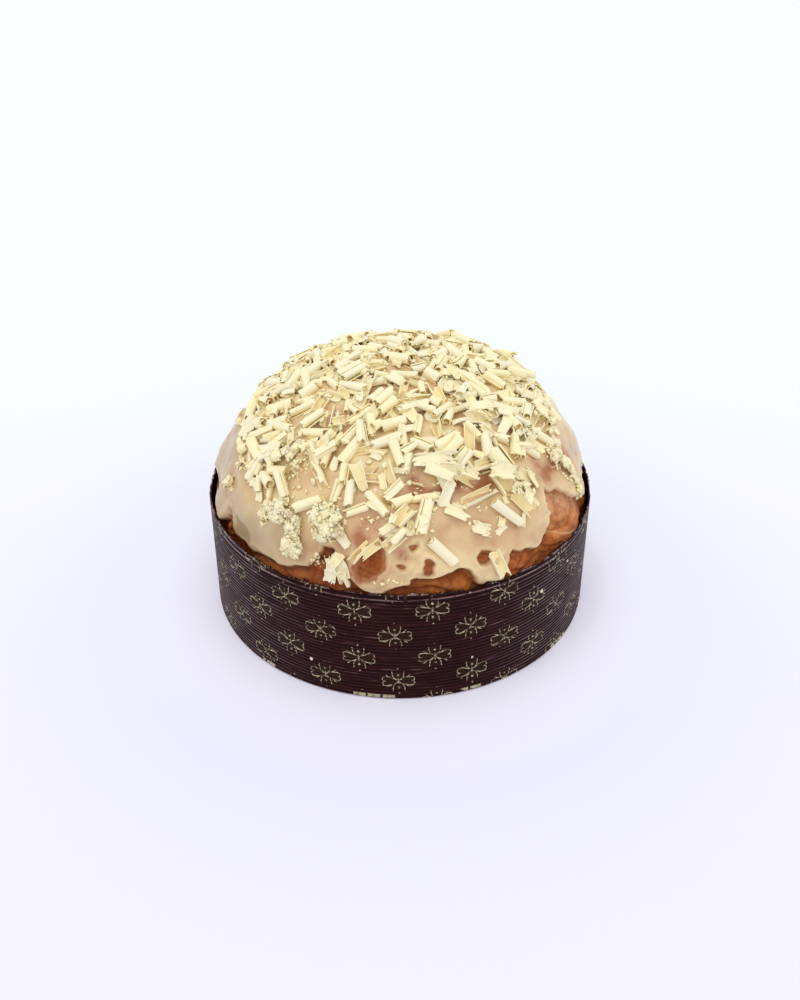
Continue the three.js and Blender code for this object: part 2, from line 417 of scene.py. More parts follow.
def new_group(
    name: str, inputs: dict[str, float], outputs: tuple[str, ...]
) -> tuple[Recipe, dict[str, Value], bpy.types.Node]:
    """Starts a shader node group.

    Args:
        name: The group's name.
        inputs: Its number inputs with their defaults.
        outputs: Its number outputs.

    Returns:
        Its recipe, its inputs by name and its output node.
    """
    tree = bpy.data.node_groups.new(name, "ShaderNodeTree")
    for label, value in inputs.items():
        tree.interface.new_socket(label, in_out="INPUT", socket_type="NodeSocketFloat").default_value = value
    for label in outputs:
        tree.interface.new_socket(label, in_out="OUTPUT", socket_type="NodeSocketFloat")
    recipe = Recipe(tree)
    return recipe, recipe.node("NodeGroupInput", {}), tree.nodes.new("NodeGroupOutput")


def grain_group() -> bpy.types.NodeTree:
    """Makes the group for fine pits and grains, which crust, glaze and chocolate share.

    Returns:
        A group that puts out a Grain height and a Speck mask.
    """
    r, value, out = new_group("grain", {"Scale": 900.0, "Specks": 0.3}, ("Grain", "Speck"))
    speck = r.ease(r.cells(value["Scale"]), value["Specks"], 0.0)
    r.feed(out, {"Grain": r.clouds(value["Scale"], 4.0, 0.6), "Speck": speck})
    return r.tree


# ---- The dome --------------------------------------------------------


@dataclass(frozen=True)
class Dome:
    """The loaf's domed crust, as the CAD model has it."""

    radius: float = 88 * MM
    base: float = 56.5 * MM
    height: float = 57 * MM
    roundness: float = 0.9
    lean: tuple[float, float] = (4 * MM, 6 * MM)
    lobes: tuple[Wave, ...] = (Wave(1.1 * MM, 3, 0.6), Wave(0.8 * MM, 5, 2.4, 0.03))
    bulges: tuple[Wave, ...] = (Wave(0.9 * MM, 11, 0.0, 0.08), Wave(0.7 * MM, 17, 1.9, -0.11))

    def normals(self, bearing: np.ndarray, angle: np.ndarray) -> np.ndarray:
        """Returns the plain dome's outward directions."""
        turn, down = np.radians(bearing), np.radians(angle)
        outward = np.sin(down) / self.radius
        out = np.stack([outward * np.cos(turn), outward * np.sin(turn), np.cos(down) / self.height], axis=-1)
        return out / np.linalg.norm(out, axis=-1, keepdims=True)

    def swell(self, bearing: np.ndarray, angle: np.ndarray) -> np.ndarray:
        """Returns how far the crust swells out of the plain dome."""
        side = np.sin(np.radians(np.minimum(angle, 90.0)))
        lobes = sum_waves(self.lobes, bearing, angle) * side**2
        return lobes + sum_waves(self.bulges, bearing, angle) * side**8

    def points(self, bearing: np.ndarray, angle: np.ndarray, rise: np.ndarray | float = 0.0) -> np.ndarray:
        """Finds points on or over the crust.

        Args:
            bearing: Bearings in degrees.
            angle: Angles down from the crown in degrees.
            rise: How far over the crust each point lies.

        Returns:
            An array of points.
        """
        turn, down = np.radians(bearing), np.radians(angle)
        share = np.sin(down) ** self.roundness
        x = self.radius * share * np.cos(turn) + self.lean[0] * (1 - share**2)
        y = self.radius * share * np.sin(turn) + self.lean[1] * (1 - share**2)
        plain = np.stack([x, y, self.base + self.height * np.cos(down)], axis=-1)
        out = np.asarray(self.swell(bearing, angle) + rise)
        return plain + self.normals(bearing, angle) * out[..., None]

    def along(self, angle: np.ndarray) -> np.ndarray:
        """Returns the metres that a degree of angle covers."""
        down = np.radians(np.clip(angle, 1.0, 179.0))
        across = self.radius * self.roundness * np.sin(down) ** (self.roundness - 1) * np.cos(down)
        return np.hypot(across, self.height * np.sin(down)) * math.pi / 180

    def around(self, angle: np.ndarray) -> np.ndarray:
        """Returns the metres that a degree of bearing covers."""
        return self.radius * np.sin(np.radians(np.maximum(angle, 1.0))) ** self.roundness * math.pi / 180


DOME = Dome()


def polar_sphere(segments: int, rings: int) -> bpy.types.Object:
    """Adds a unit sphere that a skin is shaped from, with so many faces round it and from pole to pole."""
    bpy.ops.object.select_all(action="DESELECT")
    bpy.ops.mesh.primitive_uv_sphere_add(segments=segments, ring_count=rings, radius=1.0)
    return bpy.context.active_object


def polar_places(points: np.ndarray) -> tuple[np.ndarray, np.ndarray]:
    """Returns the bearing and the angle from the top pole of points on a sphere, in degrees."""
    flat = np.hypot(points[:, 0], points[:, 1])
    bearing = np.degrees(np.arctan2(points[:, 1], points[:, 0])) % 360.0
    return bearing, np.degrees(np.arctan2(flat, points[:, 2]))


def refine(sphere: bpy.types.Object, chosen: np.ndarray, cuts: int) -> tuple[np.ndarray, np.ndarray]:
    """Divides chosen faces of a sphere more finely.

    Args:
        sphere: The sphere.
        chosen: A true or false value for each face.
        cuts: How many cuts each of their edges gets.

    Returns:
        The bearing and the angle from the top pole of each vertex afterwards.
    """
    edit(sphere, chosen, "FACE")
    bpy.ops.mesh.subdivide(number_cuts=cuts)
    close_edit()
    return polar_places(points_of(sphere))


# ---- The paper case --------------------------------------------------


@dataclass(frozen=True)
class PaperFinish:
    """Dark brown baking paper with a printed lattice of pale gold rosettes."""

    crest: Colour = srgb(50, 19, 18)
    # Painted shade: the colour in the grooves of the ridges, which also darkens random patches.
    groove_shade_and_patch: Colour = srgb(20, 6, 6)
    # Painted highlight: pale lines along the ridges' crests.
    painted_highlight: Colour = srgb(136, 106, 104)
    # Painted sheen: a pale bluish grey on the crests at the case's sides.
    wear_and_sheen: Colour = srgb(168, 152, 158)
    petal: Colour = srgb(40, 25, 18)
    gold: Colour = srgb(196, 184, 152)
    bar: Colour = srgb(172, 164, 138)
    fleck: Colour = srgb(226, 212, 196)
    cut: Colour = srgb(182, 156, 146)
    column: float = 10.3
    row: float = 25.6
    shift: tuple[float, float] = (-1.09, 10.7)
    slant: tuple[float, float] = (0.0356, 0.072)
    roughness: float = 0.3

    def rosettes(self) -> bpy.types.NodeTree:
        """Makes the group that draws the print.

        Returns:
            A group that puts out a Line mask and a Field mask for the petals' insides.
        """
        r, value, out = new_group("rosettes", {"Line width": 0.16}, ("Line", "Field"))
        turn, up = r.math("DEGREES", r.turn()), r.axis("Z") * (1 / MM)
        slid = turn + (up - 30.0) * self.slant[0]
        column = (slid - self.shift[0]) / self.column
        nearest = r.math("ROUND", column)
        odd = r.math("FLOORED_MODULO", nearest, 2.0)
        lift = turn * self.slant[1] + odd * (self.row / 2)
        row = (up - self.shift[1] - lift) / self.row
        wide = math.radians(self.column) * 93.5
        a = abs(column - nearest) * wide
        b = abs(row - r.math("ROUND", row)) * self.row

        def ring(x: float, y: float, size: float) -> Value:
            """Returns the distance from a circle's line."""
            return r.math("SQRT", (a - x) ** 2.0 + (b - y) ** 2.0) - size

        def away(distance: Value, *outside: Value) -> Value:
            """Returns the distance from a line, larger wherever a limit is passed."""
            total = abs(distance)
            for limit in outside:
                total += r.math("MAXIMUM", limit, 0.0) * 3.0
            return total

        half = (1.0 - r.math("EXPONENT", a / -2.2)) * 2.65
        past = a - 5.8
        petal = away(b - half, past)
        lobe = away(ring(5.9, 1.25, 1.25), past * -1.0)
        bowl = 1.0 - r.math("EXPONENT", (b - 0.7) / -1.1)
        cup = a - bowl * 2.7
        bud = away(cup, abs(b - 3.3) - 2.3)
        reach = a * 0.839 + b * 0.545
        beside = b * 0.839 - a * 0.545
        stamen = away(beside, 3.6 - reach, reach - 6.3)
        stem = away(a, b - 1.7)
        nearest_line = petal
        for line in (lobe, bud, stamen, stem):
            nearest_line = r.math("MINIMUM", nearest_line, line)
        width = value["Line width"]
        line = r.ease(nearest_line, width * 1.6, width * 0.5)
        for dot in (ring(0.0, 3.6, 0.45), ring(0.0, 7.2, 0.25)):
            line = r.math("MAXIMUM", line, r.ease(dot, 0.2, -0.05))
        inside = r.ease(b - half, 0.2, 0.0) * r.ease(past, 1.2, 0.8)
        inside = r.math("MAXIMUM", inside, r.ease(cup, 0.1, -0.1) * r.ease(b, 5.5, 5.1))
        r.feed(out, {"Line": line, "Field": inside})
        return r.tree

    def base_bars(self, r: Recipe) -> Value:
        """Draws the plain pale bars along the base, and returns a mask that is 1 on them."""
        turn, up = r.math("DEGREES", r.turn()), abs(r.axis("Z") * (1 / MM) - 1.7)
        dash = abs(r.math("FLOORED_MODULO", turn + 13.2, 4.1) - 2.0)
        groups = r.ease(abs(turn + 7.3), 6.0, 5.8)
        for middle, half in ((20.0, 3.0), (-40.5, 2.6), (54.0, 4.0)):
            near = abs(turn - middle)
            groups = r.math("MAXIMUM", groups, r.ease(near, half + 0.2, half))
        return r.ease(dash, 1.8, 1.65) * r.ease(up, 0.95, 0.8) * groups

    def ground(self, r: Recipe, turn: Value, streaks: Value) -> Value:
        """Colours the bare paper: painted shade in the grooves, darker random patches, and painted highlights
        and a painted bluish sheen on the ridges' crests.

        Args:
            r: The material's recipe.
            turn: How far round from the front a place is, in radians.
            streaks: Noise that is drawn out along the ridges.

        Returns:
            The colour.
        """
        crest = r.stored("crest")
        depth = crest + (streaks - 0.5) * 2.4
        # Painted shade: darker in the grooves than on the crests.
        ground = r.blend(r.ease(depth, -0.1, 1.1), self.groove_shade_and_patch, self.crest)
        patchy = r.ease(r.clouds(30.0), 0.35, 0.7)
        ground = r.blend(patchy * 0.25, ground, self.groove_shade_and_patch)
        # Painted highlights: broken pale streaks along the crests, brightest on the broad ridges under the
        # rim.
        crest_highlight = r.ease(streaks, 0.6, 0.7) * (crest * 0.6)
        band_highlight = r.stored("band") * r.ease(crest, 0.75, 1.0) * 0.95
        band_highlight *= r.ease(streaks, 0.36, 0.54)
        ground = r.blend(r.math("MAXIMUM", crest_highlight, band_highlight), ground, self.painted_highlight)
        # Painted sheen: pale bluish lines on the crests at the sides of the case.
        side_sheen = r.ease(abs(turn), 0.35, 0.85) * r.ease(crest, 0.7, 1.0)
        side_sheen = side_sheen * r.stored("outside") * r.ease(streaks, 0.34, 0.6)
        return r.blend(side_sheen * 0.55, ground, self.wear_and_sheen)

    def material(self) -> bpy.types.Material:
        """Makes the paper's material, with the print wearing off in the grooves, painted shade in the grooves
        and painted highlights and sheen on the crests.
        """
        material, r, shader = new_material("printed_paper")
        turn, outside = r.turn(), r.stored("outside")
        wound = r.node("ShaderNodeCombineXYZ", {0: turn * 0.09, 1: r.axis("Z")})["Vector"]
        streaks = r.clouds(1.0, 4.0, 0.6, place=r.stretched(wound, (60.0, 900.0, 1.0)))
        rosette = r.node("ShaderNodeGroup", {}, node_tree=self.rosettes())
        ground = self.ground(r, turn, streaks)
        ground = r.blend(rosette["Field"] * (outside * 0.75), ground, self.petal)
        # Print wear: where the print's lines and bars break up.
        wear_and_sheen = r.ease(r.clouds(420.0, 4.0, 0.7), 0.34, 0.52)
        on_crest = r.stored("crest") * 0.7 + 0.3
        printed = r.blend(rosette["Line"] * wear_and_sheen * (on_crest * outside), ground, self.gold)
        printed = r.blend(self.base_bars(r) * wear_and_sheen, printed, self.bar)
        chips = r.ease(r.cells(42.0) + r.clouds(700.0) * 0.05, 0.075, 0.06)
        printed = r.blend(chips * outside, printed, self.fleck)
        fray = r.stored("cut") * r.ease(r.clouds(330.0), 0.56, 0.68)
        fibre = r.clouds(1.0, 3.0, 0.6, place=r.stretched(r.place(), (500.0, 500.0, 2200.0)))
        r.feed(shader, {
            "Base Color": r.blend(fray, printed, self.cut),
            "Roughness": r.span(r.clouds(60.0, 4.0), self.roughness - 0.1, self.roughness + 0.14),
            "Normal": r.bump(fibre, 0.25, 0.15 * MM),
            "Specular IOR Level": 0.08,
            "Specular Tint": (1.0, 0.6, 0.56, 1.0),
        })
        return material


@dataclass
class PaperCase:
    """The round case of corrugated paper, with a pinked rim and a glued seam at the back."""

    radius: float = 93.3 * MM
    rim_radius: float = 92.7 * MM
    height: float = 60 * MM
    wall: float = 0.8 * MM
    sag: float = 0.9 * MM
    tooth: float = 1.7 * MM
    teeth: int = 58
    pitch: float = 1.8 * MM
    depth: float = 0.45 * MM
    # How far the broader ridges under the rim and the rim's unevenness reach down.
    band: float = 7 * MM
    rim_reach: float = 9 * MM
    columns: int = 540
    rows_per_ridge: int = 4
    base_points: int = 3
    inner_depth: float = 30 * MM
    seam: float = 0.35 * MM
    sags: tuple[Wave, ...] = (Wave(0.6, 2, 0.8), Wave(0.4, 7, 0.0))
    crease: float = 50.0
    finish: PaperFinish = PaperFinish()

    @property
    def band_start(self) -> float:
        """Returns the height at which the broader ridges start."""
        return self.height - self.band

    @property
    def rows(self) -> int:
        """Returns how many points the corrugated face has from the base to the rim."""
        return round(self.height / self.pitch * self.rows_per_ridge)

    def rim(self, bearing: np.ndarray) -> np.ndarray:
        """Returns the rim's height, with the rounded teeth of its pinked edge and its small tears."""
        turn = np.radians(bearing)
        whole = self.height - self.sag - self.tooth + self.sag * sum_waves(self.sags, bearing)
        place = np.stack([np.cos(turn), np.sin(turn), np.zeros_like(turn)], axis=-1)
        uneven = field_noise(place, (9, 9, 1), 4.0)
        teeth = np.abs(np.sin(self.teeth / 2 * turn + 4 * uneven)) * np.clip(0.8 + 2 * uneven, 0.35, 1.2)
        torn = field_noise(place, (17, 17, 1)) + 0.7 * field_noise(place, (60, 60, 1), 7.0)
        return whole + self.tooth * teeth + 1.2 * MM * torn

    def crest_at(self, up: np.ndarray) -> np.ndarray:
        """Returns how much of a ridge's crest there is at a height: the ridges are broader under the rim."""
        ridge = 0.5 - 0.5 * np.cos(2 * np.pi * up / self.pitch)
        in_band = smoothstep(self.band_start, self.band_start + 1.5 * MM, up)
        broad = 0.5 - 0.5 * np.cos(2 * np.pi * (self.height - up) / (self.pitch * 1.6))
        return ridge * (1 - in_band) + broad * in_band

    def outer_radius(self, up: np.ndarray) -> np.ndarray:
        """Returns the radius of the corrugated face at a height."""
        lean = self.radius + (self.rim_radius - self.radius) * up / self.height
        return lean - self.depth * (1 - self.crest_at(up))

    def profile(self) -> tuple[np.ndarray, np.ndarray]:
        """Draws half the case's section, from the middle of its underside round to the middle of its floor.

        Returns:
            Points as radius and height, and for each how much of a ridge's crest it is.
        """
        up = np.linspace(0.6 * MM, self.height, self.rows)
        outer = np.stack([self.outer_radius(up), up], axis=-1)
        base = np.array([[0.0, 0.0], [self.radius / 2, 0.0], [self.radius - 1.2 * MM, 0.0]])
        down = np.linspace(self.height, self.height - self.inner_depth, 14)
        inside = np.interp(down, [0, self.height], [self.radius, self.rim_radius]) - self.wall
        inner = np.stack([inside, down], axis=-1)
        floor = np.array([[self.radius - self.wall - 0.2 * MM, 1.0 * MM], [0.0, 1.0 * MM]])
        smooth = np.full(len(inner) + len(floor), 0.75)
        crests = np.concatenate([np.zeros(len(base)), self.crest_at(up), smooth])
        return np.concatenate([base, outer, inner, floor]), crests

    def build(self) -> bpy.types.Object:
        """Spins the section into the case and cuts its rim.

        Returns:
            The finished case.
        """
        section, _ = self.profile()
        chain = [(i, i + 1) for i in range(len(section) - 1)]
        case = new_piece([(0.0, radius, up) for radius, up in section], chain, [])
        edit(case, np.ones(len(section), bool))
        bpy.ops.mesh.spin(steps=self.columns, angle=math.tau, center=(0, 0, 0), axis=(0, 0, 1))
        bpy.ops.mesh.select_all(action="SELECT")
        bpy.ops.mesh.remove_doubles(threshold=0.01 * MM)
        bpy.ops.mesh.normals_make_consistent(inside=False)
        close_edit()
        self.shape(case)
        return present(case, "corrugated_case", "paper_case", self.finish.material(), self.crease)

    def shape(self, case: bpy.types.Object) -> None:
        """Cuts the rim, laps the seam and stores where the ridges, the cut edge and the outer face are."""
        points = points_of(case)
        section, crests = self.profile()
        bearing = np.degrees(np.arctan2(points[:, 1], points[:, 0])) % 360.0
        radius, up = np.hypot(points[:, 0], points[:, 1]), points[:, 2].copy()
        near = np.array([np.argmin(np.abs(section - place).sum(axis=1)) for place in zip(radius, up)])
        first_inner = self.base_points + self.rows
        outside = (near < first_inner).astype(float)
        near_rim = smoothstep(self.height - self.rim_reach, self.height, up)
        points[:, 2] += (self.rim(bearing) - self.height) * near_rim
        on_face = (outside > 0) & (near >= self.base_points)
        face_radius = np.where(on_face, self.outer_radius(points[:, 2]), radius)
        lap = smoothstep(-0.4, 0.4, turn_gap(bearing, 90.0)) * smoothstep(9.0, 8.0, turn_gap(bearing, 90.0))
        wobble = 0.25 * MM * sum_waves((Wave(1.0, 3, 0.4), Wave(0.6, 8, 1.0)), bearing) * up / self.height
        out = np.where(radius > self.radius * 0.6, wobble + self.seam * lap * outside, 0.0)
        points[:, :2] *= ((face_radius + out) / np.maximum(radius, 1e-9))[:, None]
        set_points(case, points)
        set_attribute(case, "crest", np.where(on_face, self.crest_at(points[:, 2]), crests[near]))
        set_attribute(case, "outside", outside)
        in_band = smoothstep(self.band_start, self.band_start + 2 * MM, up)
        set_attribute(case, "band", in_band * outside)
        set_attribute(case, "cut", smoothstep(self.height - 0.35 * MM, self.height - 0.05 * MM, up))


# ---- The loaf --------------------------------------------------------


@dataclass(frozen=True)
class CrustFinish:
    """Baked crust: orange brown, darker towards the paper and round the front left, with painted shade in its
    folds, a painted shadow below the glaze's edge and dried smears of glaze.
    """

    light: Colour = srgb(202, 120, 52)
    middle: Colour = srgb(150, 72, 22)
    dark: Colour = srgb(104, 34, 4)
    # Painted shadow below the glaze's edge.
    shaded: Colour = srgb(60, 17, 3)
    smear: Colour = srgb(212, 164, 122)

    def material(self, grain: bpy.types.NodeTree) -> bpy.types.Material:
        """Makes the crust's material.

        Args:
            grain: The shared group for fine grain.

        Returns:
            The material.
        """
        material, r, shader = new_material("baked_crust")
        low, fold, film = r.stored("low"), r.stored("fold"), r.stored("film")
        mottled = r.ease(r.clouds(85.0, 7.0, 0.72), 0.38, 0.62)
        colour = r.blend(mottled, self.middle, self.light)
        # Darker towards the paper and round bearing 253, and dark on the sides down in the case.
        colour = r.blend(low * 0.85, colour, self.dark)
        # Painted shade in the creases of the folds.
        colour = r.blend(fold * 0.75, colour, self.dark)
        # Painted shadow in a line just below the glaze's edge.
        colour = r.blend(r.stored("under") * 0.9, colour, self.shaded)
        pores = r.ease(r.clouds(520.0, 3.0, 0.6), 0.58, 0.72)
        colour = r.blend(pores * 0.4, colour, self.dark)
        patches = r.ease(r.clouds(170.0, 8.0, 0.8), 0.38, 0.6) * 0.7 + 0.3
        veil = r.math("MAXIMUM", film * patches, r.stored("thread"))
        colour = r.blend(veil * 0.85, colour, self.smear)
        fine = r.grain(grain, 1100.0, 0.22)
        blisters = r.ease(r.clouds(620.0, 3.0, 0.5), 0.3, 0.7)
        height = r.clouds(240.0, 6.0, 0.7) - fine["Speck"] * 0.3 + blisters * 0.5
        r.feed(shader, {
            "Base Color": colour,
            "Roughness": r.span(fine["Grain"], 0.38, 0.62),
            "Normal": r.bump(height, 0.7, 0.6 * MM),
            "Specular IOR Level": 0.16,
            "Specular Tint": (1.0, 0.6, 0.35, 1.0),
            "Subsurface Weight": 0.06,
            "Subsurface Radius": (1.0, 0.5, 0.25),
            "Subsurface Scale": 1.5 * MM,
        })
        return material


@dataclass
class Loaf:
    """The bread: its domed crust, folded above the rim, and its sides down in the case."""

    wall_radius: float = 91.7 * MM
    shoulder: float = 44 * MM
    bottom: float = 1.3 * MM
    # The dome's last angle, the sphere's angle that it comes from, and where finer faces start.
    lowest: float = 92.0
    dome_share: float = 140.0
    fine_below: float = 60.0
    segments: int = 220
    rings: int = 110
    fold: float = 1.2 * MM
    swollen: float = 2.8 * MM
    # The widest that it may be up to the case's rim, and how high that is.
    girth: float = 91.1 * MM
    free_above: float = 60.5 * MM
    # A thread of glaze across the bare crust, as bearing and angle.
    thread: Outline = ((318.0, 79.8), (323.4, 84.2), (327.5, 87.0), (331.0, 88.5))
    finish: CrustFinish = CrustFinish()

    def folds(self, points: np.ndarray, angle: np.ndarray) -> np.ndarray:
        """Returns how deep the crust is folded, from 0 to 1: it wrinkles most just above the paper."""
        creases = 1.0 - np.abs(field_noise(points, (55, 55, 190), 3.0)) * 5.0
        finer = 1.0 - np.abs(field_noise(points, (120, 120, 300), 11.0)) * 5.0
        deep = np.clip(creases, 0, 1) ** 2 + 0.4 * np.clip(finer, 0, 1) ** 2
        return deep * smoothstep(66.0, 84.0, angle)

    def build(self, grain: bpy.types.NodeTree, glaze: "Glaze") -> bpy.types.Object:
        """Shapes the loaf from a sphere: its upper part is the dome, and the rest its sides and bottom.

        Args:
            grain: The shared group for fine grain.
            glaze: The glaze, which tells where the crust is bare and swells out against the paper.

        Returns:
            The finished loaf.
        """
        loaf = polar_sphere(self.segments, self.rings)
        height = face_middles(loaf)[:, 2]
        shown = height < math.cos(math.radians(self.dome_share * self.fine_below / self.lowest))
        shown &= height > math.cos(math.radians(self.dome_share + 4))
        bearing, polar = refine(loaf, shown, 1)
        angle = np.minimum(polar / self.dome_share, 1.0) * self.lowest
        plain = DOME.points(bearing, angle)
        fold = self.folds(plain, angle)
        bare = smoothstep(1.5, 9.0, angle - glaze.edge_at(bearing)) * smoothstep(70.0, 86.0, angle)
        points = DOME.points(bearing, angle, self.swollen * bare - self.fold * fold)
        below, tuck = (polar - self.dome_share) / (180.0 - self.dome_share), 0.4
        turn = np.radians(bearing)
        wide = np.hypot(points[:, 0], points[:, 1])
        dome_radius = np.minimum(wide, self.girth + np.maximum(points[:, 2] - self.free_above, 0))
        points[:, :2] *= (dome_radius / wide)[:, None]
        corners = [tuck, 0.7, 1.0]
        radius = np.interp(below, corners, [self.wall_radius, self.wall_radius, 0.0])
        up = np.interp(below, corners, [self.shoulder, self.bottom, self.bottom])
        drawn_in = dome_radius + (self.wall_radius - dome_radius) * smoothstep(0.0, tuck, below)
        dropped = points[:, 2] + (self.shoulder - points[:, 2]) * np.clip(below / tuck, 0, 1)
        radius, up = np.where(below < tuck, drawn_in, radius), np.where(below < tuck, dropped, up)
        sides = np.stack([radius * np.cos(turn), radius * np.sin(turn), up], axis=-1)
        set_points(loaf, np.where((below > 0)[:, None], sides, points))
        self.store_masks(loaf, glaze, bearing, angle, below > 0)
        set_attribute(loaf, "fold", np.clip(fold, 0, 1))
        return present(loaf, "baked_crust", "loaf", self.finish.material(grain))

    def store_masks(self, loaf: bpy.types.Object, glaze: "Glaze", bearing: np.ndarray, angle: np.ndarray,
                    hidden: np.ndarray) -> None:
        """Stores where the crust is darker, where shadow is painted below the glaze's edge and where glaze is
        smeared over it.

        Args:
            loaf: The shaped loaf.
            glaze: The glaze, below whose edge shadow is painted on the crust, and which leaves smears.
            bearing: Each vertex's bearing.
            angle: Each vertex's angle from the crown.
            hidden: Which vertices lie down in the case.
        """
        near, down = glaze.stray(bearing, angle)
        beside = (down - glaze.edge_at(near)) * DOME.along(angle) / MM
        # Darker round bearing 253 and towards the paper.
        darkening = np.maximum(0.8 * peak(bearing, 253.0, 27), 0.4 * smoothstep(78.0, 90.0, angle))
        # Painted shadow: a dark line just below the glaze's edge, strongest round bearing 236.
        under = (0.5 + 0.5 * peak(bearing, 236.0, 22)) * np.exp(-(((beside - 1.3) / 1.3) ** 2))
        run = np.array(self.thread)
        middle = np.interp(bearing, run[:, 0], run[:, 1])
        off = (angle - middle) * DOME.along(angle) / MM * 1.5
        on_run = (bearing > run[0, 0]) & (bearing < run[-1, 0])
        by_edge = np.exp(-((glaze.cover(bearing, angle) / (1.1 * MM)) ** 2))
        fringe = 0.6 * by_edge * smoothstep(-1.0, -3.0, beside)
        thread = np.maximum(np.where(on_run, 0.8 * np.exp(-(off**2)), 0.0), fringe)
        film = smoothstep(36.0, 12.0, np.abs(turn_gap(bearing, 340.0))) * smoothstep(86.0, 70.0, angle)
        set_attribute(loaf, "low", np.where(hidden, 1.0, darkening))
        for name, mask in (("under", under), ("thread", thread), ("film", 0.12 + 0.88 * film)):
            set_attribute(loaf, name, np.where(hidden, 0.0, mask))


# ---- The glaze -------------------------------------------------------


def smooth_loop(corners: Outline, rounds: int = 3) -> np.ndarray:
    """Cuts the corners of a closed outline until it is smooth.

    Args:
        corners: Its corners, as bearing and angle.
        rounds: How often each corner is cut.

    Returns:
        The outline's points.
    """
    loop = np.array(corners, float)
    for _ in range(rounds):
        after = np.roll(loop, -1, axis=0)
        loop = np.stack([0.75 * loop + 0.25 * after, 0.25 * loop + 0.75 * after], axis=1).reshape(-1, 2)
    return loop


def within(loop: np.ndarray, bearing: np.ndarray, angle: np.ndarray) -> np.ndarray:
    """Tells which points lie within a closed outline on the dome."""
    after = np.roll(loop, -1, axis=0)
    inside = np.zeros(bearing.shape, bool)
    for (b0, a0), (b1, a1) in zip(loop, after):
        if a0 != a1:
            crossing = b0 + (angle - a0) * (b1 - b0) / (a1 - a0)
            inside ^= ((a0 > angle) != (a1 > angle)) & (bearing < crossing)
    return inside


@dataclass(frozen=True)
class ThinSpot:
    """A place where the glaze ran thin, so that the crust shows through."""

    bearing: float
    angle: float
    across: float
    down: float
    share: float

    def at(self, bearing: np.ndarray, angle: np.ndarray) -> np.ndarray:
        """Returns how much thinner the glaze is there, from 0 to 1."""
        x = turn_gap(bearing, self.bearing) * DOME.around(self.angle) / (self.across * MM)
        y = (angle - self.angle) * DOME.along(self.angle) / (self.down * MM)
        return self.share * np.exp(-(x**2) - y**2)


@dataclass(frozen=True)
class GlazeFinish:
    """Ivory glaze: satin, milky where it is thick and browned by the crust where it is thin, with painted
    shade on its lower sides and its left lobes.
    """

    thick: Colour = srgb(222, 198, 149)
    middle: Colour = srgb(208, 176, 129)
    pink: Colour = srgb(196, 155, 114)
    thin: Colour = srgb(168, 104, 60)
    # Painted shade on the glaze's lower edge, its left lobes and the lip at the front.
    shade_colour: Colour = srgb(171, 146, 110)

    def material(self, grain: bpy.types.NodeTree) -> bpy.types.Material:
        """Makes the glaze's material.

        Args:
            grain: The shared group for fine grain.

        Returns:
            The material.
        """
        material, r, shader = new_material("poured_glaze")
        uneven = (r.clouds(150.0, 5.0, 0.6, 0.8) - 0.5) * 1.8
        broad = (r.clouds(40.0, 3.0, 0.5, 1.0) - 0.5) * 3.4
        seen = r.stored("depth") + uneven + broad
        colour = r.blend(r.ease(seen, 0.2, 1.0), self.thin, self.pink)
        colour = r.blend(r.ease(seen, 0.8, 1.9), colour, self.middle)
        colour = r.blend(r.ease(seen, 1.7, 3.3), colour, self.thick)
        # Painted shade on the glaze's lower edge, its left lobes and the lip at the front.
        colour = r.blend(r.stored("painted_shade") * 0.8, colour, self.shade_colour)
        height = r.clouds(150.0, 4.0) + r.grain(grain, 650.0, 0.12)["Speck"] * -0.1
        r.feed(shader, {
            "Base Color": colour,
            "Roughness": r.span(r.clouds(45.0), 0.24, 0.44),
            "Normal": r.bump(height, 0.45, 0.9 * MM),
            "Specular IOR Level": 0.25,
            "Coat Weight": 0.4,
            "Coat Roughness": 0.08,
            "Subsurface Weight": 0.2,
            "Subsurface Radius": (1.0, 0.65, 0.4),
            "Subsurface Scale": 2.0 * MM,
        })
        return material


